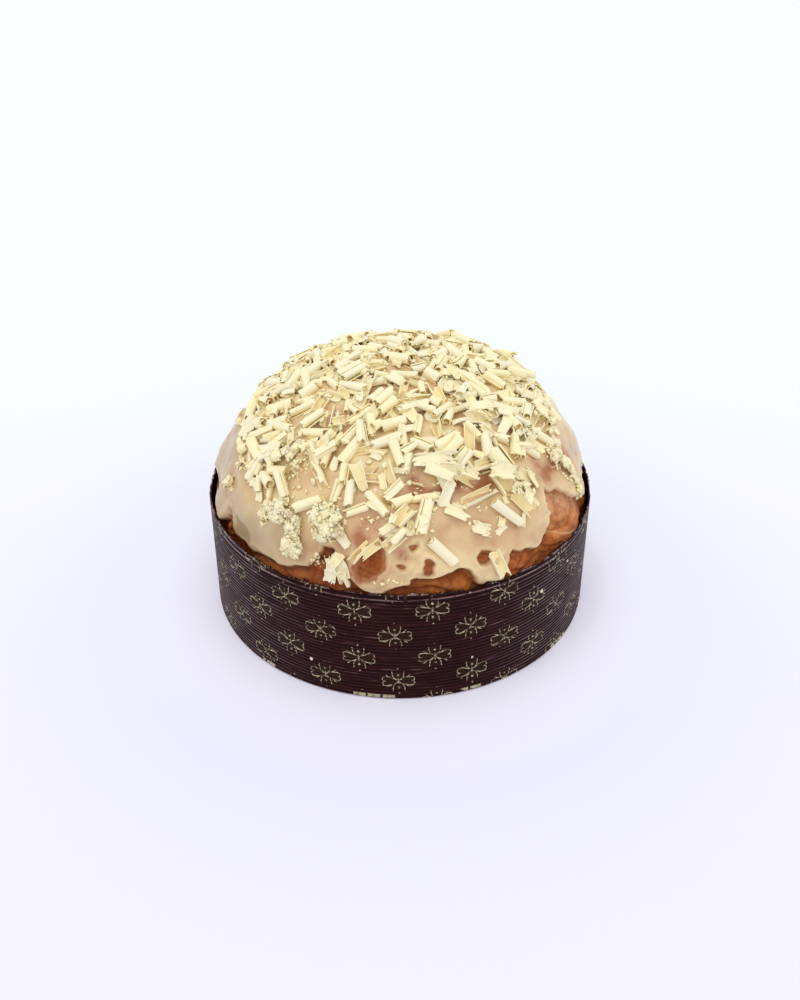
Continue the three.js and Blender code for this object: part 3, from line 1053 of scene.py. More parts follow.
@dataclass
class Glaze:
    """The glaze poured over the dome, with its runs, bays, bare windows and thin spots."""

    edge: float = 85.0
    lowest: float = 90.5
    thickness: float = 2.5 * MM
    edge_thickness: float = 1.4 * MM
    gap: float = 0.35 * MM
    rounding: float = 2.0 * MM
    lip: float = 0.7 * MM
    reach: float = 92.0
    dome_share: float = 150.0
    segments: int = 240
    rings: int = 120
    ripples: tuple[Wave, ...] = (Wave(1.2, 9, 0.4), Wave(0.9, 23, 1.1))
    runs: tuple[Run, ...] = (
        Run(28, 9, -8), Run(52, 6, 5), Run(78, 10, -7), Run(104, 7, 4), Run(131, 9, -9), Run(157, 7, 4),
    )
    # The front edge from left to right, as bearing and angle.
    front_edge: Outline = (
        (192, 88), (197, 87), (203, 91), (206, 84.5), (208, 79), (209.5, 88), (213, 91), (220, 90), (227, 87),
        (233, 86.4), (238, 84.7), (242, 82.8), (245, 83), (246.3, 78.5), (249, 73), (251.3, 73.8), (254, 80),
        (256.5, 86), (260, 88), (266, 88), (270, 86.8), (272.7, 85.3), (274.5, 83), (278, 84), (284, 82.6),
        (287.6, 82.3), (289.5, 85), (291.5, 89.5), (296, 91), (299.3, 90.5), (300.6, 86), (301.4, 80),
        (302.5, 78.2), (304.4, 79.5), (308, 82), (312, 84.6), (315.1, 84), (317.8, 81.6), (318.8, 79),
        (318.3, 74), (318.4, 69), (319, 65), (321, 63.5), (323.5, 66), (328.5, 69.5), (336.3, 76.8),
        (345, 86), (350, 87),
    )
    windows: tuple[Outline, ...] = (
        ((257.1, 77.4), (258.3, 73.6), (261.2, 69.9), (264, 70.3), (266, 74.1), (266.4, 77), (264.5, 80),
         (261.2, 84.2), (258.8, 85.8), (257.4, 82)),
        ((263.8, 66.8), (265.6, 67), (265.8, 69), (264.2, 69.4)),
        ((273, 68.8), (274.8, 68.6), (275.3, 70.3), (273.4, 70.5)),
        ((276.8, 75.2), (279.3, 75.2), (279.6, 79.3), (276.6, 82.5), (275.4, 79)),
        ((293.9, 75.6), (296.9, 76.4), (297.1, 79.4), (294.4, 81.6), (292.4, 79)),
        ((269.6, 76.9), (271.3, 76.8), (271.4, 78.2), (269.8, 78.4)),
    )
    thin_spots: tuple[ThinSpot, ...] = (
        ThinSpot(309, 47.5, 8, 2.5, 0.7), ThinSpot(326, 57, 9, 7, 0.75), ThinSpot(340, 63, 14, 9, 0.75),
        ThinSpot(264, 69, 9, 4, 0.6), ThinSpot(271, 73, 3, 5, 0.8), ThinSpot(181, 68, 14, 8, 0.75),
        ThinSpot(150, 66, 16, 10, 0.4), ThinSpot(283, 51.3, 14, 2.6, 0.7), ThinSpot(273, 47, 4, 5, 0.8),
        ThinSpot(297, 53, 6, 2.4, 0.85), ThinSpot(267, 54, 5, 2, 0.7), ThinSpot(258, 69, 3, 4, 0.6),
        ThinSpot(228, 53, 7, 4, 0.45), ThinSpot(289, 47, 5, 3, 0.5), ThinSpot(212, 60, 8, 5, 0.45),
        ThinSpot(20, 64, 18, 8, 0.45), ThinSpot(95, 64, 15, 7, 0.35), ThinSpot(60, 56, 10, 5, 0.35),
        ThinSpot(314, 60, 6, 4, 0.5), ThinSpot(253, 80, 2, 2.5, 0.6), ThinSpot(270, 0, 40, 40, 0.5),
        ThinSpot(285, 52, 30, 8, 0.42), ThinSpot(283, 77, 14, 5, -0.4), ThinSpot(306, 74, 12, 6, -0.3),
        ThinSpot(296, 88, 6, 3, -0.3), ThinSpot(283, 64, 8, 4, 0.5), ThinSpot(297, 72, 5, 3, -0.35),
    )
    # Where shade is painted on the glaze: how much, middle bearing, half width, and where it starts and is
    # full.
    shade_patches: tuple[tuple[float, float, float, float, float], ...] = (
        (0.7, 262.0, 8, 80.0, 87.0), (1.0, 222.0, 26, 58.0, 80.0), (0.9, 190.0, 26, 44.0, 62.0),
    )
    finish: GlazeFinish = GlazeFinish()

    def edge_at(self, bearing: np.ndarray) -> np.ndarray:
        """Returns how far down the glaze reaches, in degrees from the crown."""
        grid = np.arange(0.0, 360.0, 0.25)
        waves = self.edge + sum_waves(self.ripples, grid) + sum(run.at(grid) for run in self.runs)
        knots = np.array(self.front_edge)
        drawn = np.interp(grid, knots[:, 0], knots[:, 1])
        first, last = knots[0, 0], knots[-1, 0]
        front = smoothstep(first, first + 4, grid) * smoothstep(last, last - 4, grid)
        edge = np.minimum(waves + (drawn - waves) * front, self.lowest)
        blur = np.exp(-np.linspace(-2, 2, 9) ** 2)
        edge = np.convolve(np.concatenate([edge[-4:], edge, edge[:4]]), blur / blur.sum(), "valid")
        return np.interp(bearing % 360, grid, edge, period=360)

    def stray(self, bearing: np.ndarray, angle: np.ndarray) -> tuple[np.ndarray, np.ndarray]:
        """Shifts places by a millimetre or so, which makes the outlines that are read there uneven."""
        points = DOME.points(bearing, angle)
        broad, fine = (150,) * 3, (420,) * 3
        down, along = (2.2 * field_noise(points, broad, shift) + 0.9 * field_noise(points, fine, shift)
                       for shift in (1.0, 9.0))
        bearing = bearing + along * MM / DOME.around(np.maximum(angle, 30))
        return bearing, np.maximum(angle + down * MM / DOME.along(angle), 0.0)

    def cover(self, bearing: np.ndarray, angle: np.ndarray) -> np.ndarray:
        """Finds how far inside the glaze's outline points are.

        Args:
            bearing: Their bearings.
            angle: Their angles from the crown.

        Returns:
            Their distances from the nearest edge, with those that are outside as negative lengths.
        """
        bearing, angle = self.stray(bearing, angle)
        around = np.arange(0.0, 360.0, 0.25)
        loops = [smooth_loop(window) for window in self.windows]
        rims = [np.stack([around, self.edge_at(around)], axis=1)]
        for loop in loops:
            after = np.roll(loop, -1, axis=0)
            rims += [loop + (after - loop) * share for share in (0.0, 0.33, 0.67)]
        rim = np.concatenate(rims)
        places = DOME.points(rim[:, 0], rim[:, 1])
        tree = KDTree(len(places))
        for i, point in enumerate(places):
            tree.insert(point, i)
        tree.balance()
        away = np.array([tree.find(point)[2] for point in DOME.points(bearing, angle)])
        bare = angle > self.edge_at(bearing)
        for loop in loops:
            bare |= within(loop, bearing, angle)
        return np.where(bare, -away, away)

    def depth(self, bearing: np.ndarray, angle: np.ndarray) -> np.ndarray:
        """Returns how thick the glaze is away from its edges."""
        turn, share = np.radians(bearing), np.clip(angle / self.edge, 0, 1.05)
        waves = 0.35 * np.sin(4 * turn + 6 * share) + 0.3 * np.sin(7 * turn - 9 * share)
        plain = self.thickness + (self.edge_thickness - self.thickness) * share**2 + waves * share * MM
        thinned = np.clip(sum(spot.at(bearing, angle) for spot in self.thin_spots), -0.4, 0.88)
        return plain * (1 - thinned)

    def rise(self, bearing: np.ndarray, angle: np.ndarray, lumps: np.ndarray | float = 0.0) -> np.ndarray:
        """Returns how far the glaze's face stands over the crust: below it wherever there is no glaze."""
        inside = self.cover(bearing, angle)
        lip = self.lip * np.exp(-(((inside - 1.7 * MM) / (1.3 * MM)) ** 2))
        full = self.gap + self.depth(bearing, angle) + lumps + lip
        share = np.clip(inside / self.rounding, 0, 1)
        rounded = np.maximum(full, 0.4 * MM) * np.sqrt(1 - (1 - share) ** 2)
        return np.where(inside > 0, rounded, np.maximum(inside * 1.5, -1.3 * MM))

    def build(self, grain: bpy.types.NodeTree) -> bpy.types.Object:
        """Shapes the glaze from a sphere: its upper part is the poured face, and the rest closes it below.

        Args:
            grain: The shared group for fine grain.

        Returns:
            The finished glaze.
        """
        glaze = polar_sphere(self.segments, self.rings)
        bearing, polar = polar_places(face_middles(glaze))
        angle = polar / self.dome_share * self.reach
        near_edge = (np.abs(self.cover(bearing, angle) - 0.8 * MM) < 2.4 * MM) & (polar < self.dome_share - 1)
        bearing, polar = refine(glaze, near_edge, 2)
        angle = np.minimum(polar / self.dome_share, 1.0) * self.reach
        plain = DOME.points(bearing, angle)
        lumps = 1.3 * MM * field_noise(plain, (75,) * 3, 5.0) + 0.7 * MM * field_noise(plain, (170,) * 3)
        rise = self.rise(bearing, angle, lumps)
        under = np.clip((polar - self.dome_share) / (180.0 - self.dome_share), 0, 1)
        angle = np.where(under > 0, self.reach * (1 - under), angle)
        rise = np.where(under > 0, -1.5 * MM, rise)
        set_points(glaze, DOME.points(bearing, angle, rise))
        behind = 0.5 + 0.5 * np.sin(np.radians(bearing))
        set_attribute(glaze, "depth", (rise - self.gap) / MM + 0.9 * behind**2)
        # Painted shade: darker near the glaze's lower edge and on the listed patches, less round bearing 288.
        painted_shade = 0.3 * smoothstep(76.0, 88.0, angle)
        for share, middle, half, first, last in self.shade_patches:
            painted_shade = np.maximum(painted_shade, share * peak(bearing, middle, half) * smoothstep(first, last, angle))
        set_attribute(glaze, "painted_shade", painted_shade * (1 - 0.8 * peak(bearing, 288.0, 16)))
        material = self.finish.material(grain)
        return present(glaze, "poured_glaze", "icing_and_curls", material)


# ---- Curls, shards and crumbs of white chocolate ---------------------


class Form(Enum):
    """The forms that shaved chocolate breaks into."""

    ROLL = "rolled_curls"
    TROUGH = "open_curls"
    SHARD = "shards"
    SHEET = "ragged_flakes"
    CRUMB = "crumbs"
    CLUMP = "crumb_clumps"


# How much of its drawn turn each form takes, with the others lying flat.
SPINS = {Form.ROLL: 1.0, Form.TROUGH: 0.35, Form.SHEET: 0.12}
# How high each form holds up what falls on it, as a share of half its width.
PROPS = {Form.ROLL: 0.64, Form.TROUGH: 0.64, Form.CLUMP: 0.5}
FLAT_PROP = 0.3
# How far what is rolled and what is flat sinks into what it lies on.
SINKS = (0.8 * MM, 0.3 * MM)


@dataclass(frozen=True)
class Model:
    """A modelled shaving, with its length along Z, and how far inside it each of its vertices is, which sets
    how much painted shade it gets.
    """

    points: np.ndarray
    faces: list[tuple[int, ...]]
    inner: np.ndarray


@dataclass(frozen=True)
class Shaving:
    """One kind of shaving, modelled one metre long and with half a width of one metre.

    Attributes:
        form: What it breaks into.
        steps: How many faces it has round its roll.
        rows: How many it has along its length.
        sweep: How far it is rolled up, in degrees.
        spiral: How much the roll closes in on itself.
        ragged: How far its frayed edges are moved at random.
        wall: Its thickness.
    """

    form: Form
    steps: int
    rows: int
    sweep: float
    spiral: float
    ragged: float
    wall: float

    def model(self, seed: int) -> Model:
        """Models one variant from a flat strip: frayed at its ends, rolled up and given its thickness.

        Args:
            seed: Which variant this is.

        Returns:
            The model, rolled round the origin.
        """
        sweep = math.radians(self.sweep * between(0.85, 1.15, seed, 1))
        bpy.ops.object.select_all(action="DESELECT")
        bpy.ops.mesh.primitive_grid_add(x_subdivisions=self.steps, y_subdivisions=self.rows, size=1.0,
                                        rotation=(math.pi / 2, 0, 0))
        strip = bpy.context.active_object
        bpy.ops.object.transform_apply(location=True, rotation=True, scale=True)
        points = points_of(strip)
        points[:, 2] += between(-0.12, 0.12, seed, 2) * points[:, 0]
        points[:, 0] *= sweep
        points[:, 1] = -self.spiral * points[:, 0] / sweep
        set_points(strip, points)
        edge = np.abs(points[:, 2]) > 0.38
        if self.form is Form.SHEET:
            edge |= np.abs(points[:, 0]) > 0.4 * sweep
        edit(strip, edge)
        bpy.ops.transform.vertex_random(offset=self.ragged, uniform=1.0, normal=0.0, seed=seed + 1)
        bpy.ops.mesh.select_all(action="SELECT")
        bpy.ops.transform.vertex_random(offset=self.ragged * 0.35, uniform=1.0, normal=0.0, seed=seed + 50)
        close_edit()
        apply_modifier(strip, "SIMPLE_DEFORM", deform_method="BEND", deform_axis="Z", angle=sweep)
        apply_modifier(strip, "SOLIDIFY", thickness=self.wall, offset=0.0, use_even_offset=False)
        points = points_of(strip)
        points[:, 1] -= 1.0
        away = np.hypot(points[:, 0], points[:, 1])
        half = len(points) // 2
        first_inside = away[:half].mean() < away[half:].mean()
        # The inside of the roll gets painted shade, more the further it is rolled.
        inner = np.where((np.arange(len(points)) < half) == first_inside, 1.0, 0.0)
        points[:, :2] /= np.abs(points[:, 0]).max()
        return Model(points, take_faces(strip), inner * min(max(self.sweep - 110, 0) / 270, 1))


@dataclass(frozen=True)
class Morsel:
    """A crumb or a clump of crumbs, modelled with half a width of one metre.

    Attributes:
        form: Which of the two it is.
        fineness: How often the ball that it starts from is divided.
        rough: How far its corners are moved at random.
        lumpy: How deep its lumps are.
    """

    form: Form
    fineness: int
    rough: float
    lumpy: float

    def model(self, seed: int) -> Model:
        """Models one variant from a rough ball.

        Args:
            seed: Which variant this is.

        Returns:
            The model.
        """
        bpy.ops.object.select_all(action="DESELECT")
        bpy.ops.mesh.primitive_ico_sphere_add(subdivisions=self.fineness, radius=1.0)
        ball = bpy.context.active_object
        edit(ball, np.ones(len(ball.data.vertices), bool))
        bpy.ops.transform.vertex_random(offset=self.rough, uniform=1.0, normal=0.0, seed=seed + 7)
        close_edit()
        points = points_of(ball)
        lumps = field_noise(points, (1.9,) * 3, seed * 3.1) + 0.7 * field_noise(points, (4.5,) * 3, seed)
        points *= 1 + self.lumpy * lumps[:, None]
        points *= np.array([1.0, between(0.45, 0.9, seed, 3), 0.5])
        # Painted shade in its dents, and a little all over.
        return Model(points, take_faces(ball), np.clip(0.1 - self.lumpy * 1.6 * lumps, 0, 0.7))


def take_faces(piece: bpy.types.Object) -> list[tuple[int, ...]]:
    """Returns a model's faces and removes it from the scene."""
    faces = [tuple(face.vertices) for face in piece.data.polygons]
    bpy.data.meshes.remove(piece.data)
    return faces


@dataclass(frozen=True)
class Lie:
    """How a shaving is to lie: its place, heading from downhill, size in mm and turn about its length."""

    form: Form
    bearing: float
    angle: float
    heading: float
    length: float
    width: float
    turn: float
    variant: int


@dataclass(frozen=True)
class Rest:
    """How a shaving would come to rest: the point below it, its directions, its height and its slopes."""

    place: np.ndarray
    up: np.ndarray
    along: np.ndarray
    level: float
    slope: float
    tilt: float


class Pile:
    """What has been laid on the dome so far, so that the next shaving comes to rest on it."""

    steepest: float = 0.45
    depth: float = 3.5 * MM
    # How far round a place is searched, how low bare air counts as, and how high a shaving can stand over it.
    search: float = 20 * MM
    lowest: float = -12 * MM
    tallest: float = 25 * MM
    # Where a shaving feels for what is below it, as shares of half its length and of half its width.
    lengthwise: np.ndarray = np.linspace(-0.85, 0.85, 5)
    crosswise: np.ndarray = np.array([-0.6, 0.0, 0.6])

    def __init__(self, ground: list[bpy.types.Object]) -> None:
        """Takes the faces of the glaze and the crust as the ground."""
        graph = bpy.context.evaluated_depsgraph_get()
        self.ground = [BVHTree.FromObject(piece, graph) for piece in ground]
        self.middle = np.zeros((0, 3))
        self.along = np.zeros((0, 3))
        self.radius = np.zeros(0)
        self.half = np.zeros(0)

    def ground_height(self, place: np.ndarray, up: np.ndarray) -> float:
        """Returns how high the ground stands at a place, measured along up."""
        start = Vector(place + up * self.search)
        hits = [tree.ray_cast(start, Vector(-up), 2 * self.search) for tree in self.ground]
        return max([self.search - hit[3] for hit in hits if hit[0] is not None] + [self.lowest])

    def lowness(self, points: np.ndarray) -> np.ndarray:
        """Returns how near each point is to the glaze, from 0 at the pile's depth to 1."""
        gaps = [self.ground[0].find_nearest(point, self.depth)[3] for point in points.tolist()]
        return np.array([0.0 if gap is None else 1 - gap / self.depth for gap in gaps])

    def heights(self, spots: np.ndarray, up: np.ndarray) -> np.ndarray:
        """Returns how high the ground or the highest shaving stands over some points, measured along up."""
        ground = np.array([self.ground_height(spot, up) for spot in spots])
        near = np.sum((self.middle - spots.mean(axis=0)) ** 2, axis=1) < self.search**2
        if not near.any():
            return ground
        axis = self.along[near]
        to = spots[:, None] - self.middle[near]
        flat = to - np.sum(to * axis, axis=2, keepdims=True) * axis
        lift = up - (axis @ up)[:, None] * axis
        a, b = np.sum(lift * lift, axis=1), np.sum(flat * lift, axis=2)
        inside = b * b - a * (np.sum(flat * flat, axis=2) - self.radius[near] ** 2)
        top = (-b + np.sqrt(np.maximum(inside, 0))) / np.maximum(a, 1e-9)
        reach = np.abs(np.sum((to + top[..., None] * up) * axis, axis=2))
        over = (inside > 0) & (reach < self.half[near]) & (top < self.tallest)
        return np.maximum(ground, np.where(over, top, -1.0).max(axis=1))

    def fit(self, place: np.ndarray, up: np.ndarray, along: np.ndarray, half: float, radius: float,
            flat: bool) -> Rest:
        """Finds how a shaving would come to rest.

        Args:
            place: The point of the dome that it falls on.
            up: The direction that it falls from.
            along: The direction of its length.
            half: Half its length.
            radius: Half its width.
            flat: Whether its underside is flat.

        Returns:
            How it would rest.
        """
        across = np.cross(up, along)
        spots, sides = self.lengthwise * half, self.crosswise * radius
        grid = place + spots[:, None, None] * along + sides[None, :, None] * across
        rows = self.heights(grid.reshape(-1, 3), up).reshape(5, 3)
        tilt = 0.0
        if flat:
            tilt = float(np.clip((rows[:, 2].max() - rows[:, 0].max()) / (sides[2] - sides[0]), -0.5, 0.5))
            rows = rows - sides * tilt
        else:
            rows = rows - (radius - np.sqrt(radius**2 - sides**2))
        need = rows.max(axis=1)
        level, i, j = max((need[i] + (need[j] - need[i]) * -spots[i] / (spots[j] - spots[i]), i, j)
                          for i in (0, 1) for j in (3, 4))
        slope = (need[j] - need[i]) / (spots[j] - spots[i])
        if need[2] > level and need[0] > need[4]:
            slope = ((need[3:] - need[2]) / spots[3:]).max()
        elif need[2] > level:
            slope = ((need[:2] - need[2]) / spots[:2]).min()
        slope = float(np.clip(slope, -self.steepest, self.steepest))
        return Rest(place, up, along, float(np.max(need - slope * spots)), slope, tilt)

    def lay(self, rest: Rest, half: float, thick: float, sink: float) -> np.ndarray:
        """Lays a shaving down and remembers it.

        Args:
            rest: How it comes to rest.
            half: Half its length.
            thick: Half the height that what falls on it finds.
            sink: How far it sinks in.

        Returns:
            The matrix that takes its model to its place: X across, Y up and Z along.
        """
        direction = rest.along + rest.slope * rest.up
        direction /= np.linalg.norm(direction)
        side = np.cross(rest.up, rest.along) + rest.tilt * rest.up
        side -= np.dot(side, direction) * direction
        side /= np.linalg.norm(side)
        away = np.cross(direction, side)
        origin = rest.place + rest.up * (rest.level - sink)
        self.middle = np.vstack([self.middle, origin + away * thick])
        self.along = np.vstack([self.along, direction])
        self.radius, self.half = np.append(self.radius, thick), np.append(self.half, half)
        matrix = np.identity(4)
        matrix[:3] = np.stack([side, away, direction, origin], axis=1)
        return matrix


class Batch:
    """Gathers copies of modelled shavings into one mesh."""

    def __init__(self) -> None:
        """Starts empty."""
        self.points: list[np.ndarray] = []
        self.faces: list[tuple[int, ...]] = []
        self.tones: list[np.ndarray] = []
        self.inner: list[np.ndarray] = []
        self.count = 0

    def add(self, points: np.ndarray, model: Model, tone: float, low: np.ndarray) -> None:
        """Adds a copy, given its placed vertices, its model, how dark it is and how low its vertices lie,
        which adds painted shade.
        """
        self.faces += [tuple(self.count + corner for corner in face) for face in model.faces]
        self.points.append(points)
        self.tones.append(np.full(len(points), tone))
        self.inner.append(np.maximum(model.inner, low))
        self.count += len(points)

    def to_object(self, crumbly: float) -> bpy.types.Object:
        """Returns the copies as one mesh object, given how rough its faces are to look."""
        piece = new_piece(np.concatenate(self.points).tolist(), [], self.faces)
        piece.data.validate()
        set_attribute(piece, "tone", np.concatenate(self.tones))
        set_attribute(piece, "inner", np.concatenate(self.inner))
        set_attribute(piece, "crumbly", np.full(self.count, crumbly))
        return piece


@dataclass(frozen=True)
class ChocolateFinish:
    """White chocolate: pale cream yellow and satin, each shaving a little lighter or darker, with painted
    warm shade inside rolls, in dents and low down near the glaze.
    """

    light: Colour = srgb(231, 225, 198)
    dark: Colour = srgb(241, 228, 180)
    # Painted shade: the warm colour inside rolls, in dents and low down near the glaze.
    deep: Colour = srgb(247, 223, 159)

    def material(self, grain: bpy.types.NodeTree) -> bpy.types.Material:
        """Makes the chocolate's material.

        Args:
            grain: The shared group for fine grain.

        Returns:
            The material.
        """
        material, r, shader = new_material("white_chocolate")
        tone = r.math("ADD", r.stored("tone") * 0.7, r.clouds(220.0) * 0.5, clamp=True)
        fine = r.grain(grain, 1500.0, 0.2)
        height = r.clouds(500.0, 4.0, 0.6) + fine["Grain"] * 0.4
        height += r.clouds(900.0, 3.0, 0.7) * r.stored("crumbly")
        # The base colour mixes in painted shade by the stored inner value.
        r.feed(shader, {
            "Base Color": r.blend(r.stored("inner") * 0.8, r.blend(tone, self.light, self.dark), self.deep),
            "Roughness": r.span(fine["Grain"], 0.36, 0.56),
            "Normal": r.bump(height, 0.22, 0.25 * MM),
            "Specular IOR Level": 0.3,
        })
        return material


@dataclass
class Topping:
    """The curls, shards and crumbs that lie on the glaze."""

    scattered: int = 400
    bits: int = 260
    flakes: int = 120
    crumbs: int = 1000
    variants: int = 12
    # The highest pile over the crust, and how many places a shaving and a crumb try.
    highest: float = 6.2 * MM
    tries: int = 10
    crumb_tries: int = 3
    # What a slope costs when places are compared, and how much a shaving turns for each mm it may slide.
    steep_cost: float = 3 * MM
    swing: float = 4.0
    # The first and the last bearing and the highest angle of the front that single shavings have.
    lone_zone: tuple[float, float, float] = (228.0, 318.0, 46.0)
    kinds: tuple[Shaving | Morsel, ...] = (
        Shaving(Form.ROLL, 15, 1, 490, 0.9, 0.07, 0.34),
        Shaving(Form.TROUGH, 8, 2, 205, 0.15, 0.09, 0.17),
        Shaving(Form.SHARD, 4, 3, 75, 0.0, 0.1, 0.16),
        Shaving(Form.SHEET, 9, 8, 100, 0.0, 0.16, 0.13),
        Morsel(Form.CRUMB, 1, 0.5, 0.0),
        Morsel(Form.CLUMP, 3, 0.06, 0.4),
    )
    # How far down the scattered shavings lie, as bearing and angle.
    bounds: Outline = (
        (0, 43), (12, 42), (40, 45), (90, 50), (130, 50), (157, 53), (177, 51), (189, 53), (198, 58),
        (206, 61), (228, 64), (317, 62), (320, 47), (328, 49), (333, 56), (339, 58), (345, 50), (353, 44),
    )
    # Form, bearing, angle, heading, length and width of the shavings that lie singly on the front.
    lone: tuple[tuple[str, float, float, float, float, float], ...] = (
        ("R", 229, 57, 43, 12.5, 5.6), ("R", 222, 58.7, 80, 9, 5), ("R", 241, 59.2, 118, 12.5, 5.8),
        ("T", 240, 50.3, 50, 12.4, 6), ("R", 249, 53.9, 180, 10, 4.4), ("R", 253, 53.1, 1, 11, 4.8),
        ("R", 249, 47.9, 15, 9.5, 4.6), ("T", 255, 47.7, 28, 11.4, 5.6), ("R", 262, 54.9, 39, 12, 5),
        ("R", 267, 50.6, 133, 10, 4.8), ("R", 256, 58.4, 113, 9.5, 4.5), ("T", 295, 55.8, 98, 15.8, 5.8),
        ("R", 303, 64.4, 38, 15.5, 5.6), ("T", 309, 63.6, 28, 13, 7), ("S", 284, 51.7, 147, 12, 5.4),
        ("R", 276, 60.2, 157, 14.5, 6.5), ("R", 277, 53.2, 94, 10.5, 4.2), ("R", 270, 54.3, 113, 9, 4.6),
        ("T", 270, 59.6, 135, 9, 7), ("R", 281, 71.8, 49, 13.6, 5.3), ("T", 297, 82, 20, 12, 5.6),
        ("S", 287, 59.3, 58, 10.2, 4.4), ("T", 259, 71.9, 142, 11, 3.9), ("T", 262, 71, 134, 10.5, 3.9),
        ("S", 269, 64.3, 105, 12.7, 3.2), ("T", 268, 68, 138, 9.5, 6.4), ("R", 269.3, 66.3, 145, 7.5, 4),
        ("F", 252.3, 80, 10, 8.5, 6.5), ("S", 254.3, 80.5, 28, 7.5, 5.5), ("F", 252.5, 82.5, 165, 7, 6),
        ("T", 255, 82.5, 12, 7, 5), ("S", 252.7, 77, 160, 6.5, 5), ("S", 254, 68.6, 50, 6.5, 5),
        ("S", 251.4, 78.6, 24, 6, 4.5), ("F", 294.5, 66.5, 60, 7.5, 6), ("R", 306, 46, 9, 11, 6.4),
        ("T", 304, 53, 10, 11, 8), ("R", 283, 47, 60, 12, 5), ("F", 281.5, 42, 95, 15, 8),
        ("F", 286, 44.5, 60, 10, 7), ("F", 305, 50.5, 60, 11, 8), ("F", 314, 54.5, 60, 8, 5.5),
        ("S", 316, 56.5, 10, 8, 4.5), ("S", 308.5, 57.6, 80, 8, 6), ("S", 311, 61, 120, 9, 6),
    )
    # Bearing, angle, spread across and down in mm, and number of crumbs in each heap.
    heaps: tuple[tuple[float, float, float, float, int], ...] = (
        (226, 69, 2.2, 4.5, 60), (233, 65, 5.5, 3.6, 170), (238.6, 70.5, 2.6, 4.5, 110),
        (240.6, 75.6, 2.6, 3.6, 110), (248.6, 64.3, 5.8, 5.8, 300), (203, 71, 4, 2.5, 40),
        (247, 79, 2.5, 2.5, 14), (334, 56, 4.5, 5, 90), (336.5, 64, 4, 5, 90), (337.5, 71, 2.5, 4.5, 44),
        (338, 77, 1.5, 2, 12), (347, 75, 2, 2, 9), (225, 48, 9, 6, 90), (5, 85, 2, 1.5, 12),
        (309, 57, 5, 3, 24), (268, 83.5, 6, 1, 8),
    )
    finish: ChocolateFinish = ChocolateFinish()
    # Edges of shavings that are sharper than this many degrees stay sharp, and clumps have more relief.
    crease: float = 42.0
    clump_relief: float = 3.5

    def reach_at(self, bearing: float) -> float:
        """Returns how far down the scattered shavings lie at a bearing, in degrees from the crown."""
        knots = np.array(self.bounds)
        return float(np.interp(bearing, knots[:, 0], knots[:, 1], period=360))

    def kept_clear(self, bearing: float, angle: float) -> bool:
        """Tells whether a place belongs to the single shavings on the front."""
        first, last, highest = self.lone_zone
        return first < bearing < last and angle > highest

    def lone_lies(self) -> list[Lie]:
        """Returns how the single shavings lie."""
        forms = {"R": Form.ROLL, "T": Form.TROUGH, "S": Form.SHARD, "F": Form.SHEET}
        return [Lie(forms[key], bearing, angle, heading, length, width, between(-180, 180, i, 21), i)
                for i, (key, bearing, angle, heading, length, width) in enumerate(self.lone)]

    def scattered_lies(self) -> list[Lie]:
        """Returns how the scattered shavings lie, spread evenly over the field and laid in a mixed order."""
        lies = []
        for i in sorted(range(self.scattered), key=lambda k: draw(k, 9)):
            bearing = (i * GOLDEN_ANGLE + between(-9, 9, i, 8)) % 360
            area = (i + 0.5) / self.scattered
            limit = math.cos(math.radians(self.reach_at(bearing)))
            angle = math.degrees(math.acos(1 - area * (1 - limit))) + between(-2, 2, i, 7)
            if self.kept_clear(bearing, angle):
                continue
            kind = draw(i, 1)
            form = Form.ROLL if kind < 0.62 else Form.TROUGH if kind < 0.86 else Form.SHARD
            size = 0.75 if angle > self.reach_at(bearing) - 6 else 1.0
            width = between(4.2, 6.1, i, 2) * (1.2 if form is Form.SHARD else 1.0) * size
            length = between(8, 13.5, i, 3) * size
            heading, turn = between(0, 180, i, 5), between(-180, 180, i, 4)
            lies.append(Lie(form, bearing, abs(angle), heading, length, width, turn, i))
        return lies

    def bit_lies(self) -> list[Lie]:
        """Returns how the short broken curls lie, which fill the gaps between the whole ones."""
        lies = []
        for i in range(self.bits):
            bearing = (i * GOLDEN_ANGLE + 40) % 360
            angle = self.reach_at(bearing) * 0.97 * math.sqrt((i + 0.5) / self.bits)
            if self.kept_clear(bearing, angle):
                continue
            form = (Form.ROLL, Form.TROUGH, Form.SHARD)[int(3 * draw(i, 22))]
            lies.append(Lie(form, bearing, angle, between(0, 180, i, 23), between(4.5, 8, i, 24),
                            between(3.2, 4.8, i, 25), between(-180, 180, i, 26), i + 3))
        return lies

    def flake_lies(self) -> list[Lie]:
        """Returns how the small broken flakes lie."""
        lies = []
        for i in range(self.flakes):
            bearing = between(0, 360, i, 31)
            angle = self.reach_at(bearing) * 1.08 * math.sqrt(between(0.0, 1.0, i, 32))
            lies.append(Lie(Form.SHARD, bearing, angle, between(0, 180, i, 33), between(3, 6.5, i, 34),
                            between(2.4, 4.6, i, 35), between(-180, 180, i, 36), i + 5))
        return lies

    def heap_lies(self) -> list[Lie]:
        """Returns how the heaped crumbs and clumps lie."""
        lies = []
        for heap, (bearing, angle, across, down, count) in enumerate(self.heaps):
            clumps, fine = count // 16, round(1.8 * count)
            around, along = float(DOME.around(np.array(angle))), float(DOME.along(np.array(angle)))
            for i in range(clumps + fine):
                turn, out = math.tau * draw(i, 41 + heap), math.sqrt(draw(i, 51 + heap))
                out *= 0.9 if i < clumps else 1.25
                b = bearing + out * math.cos(turn) * across * MM / around
                a = angle + out * math.sin(turn) * down * MM / along
                lie = self.crumb(b, a, i + 1000 * heap, 0.68)
                if i < clumps:
                    length, width = between(3.6, 5.6, i, 76), between(3, 4.4, i, 77)
                    lie = replace(lie, form=Form.CLUMP, length=length, width=width)
                lies.append(lie)
        return lies

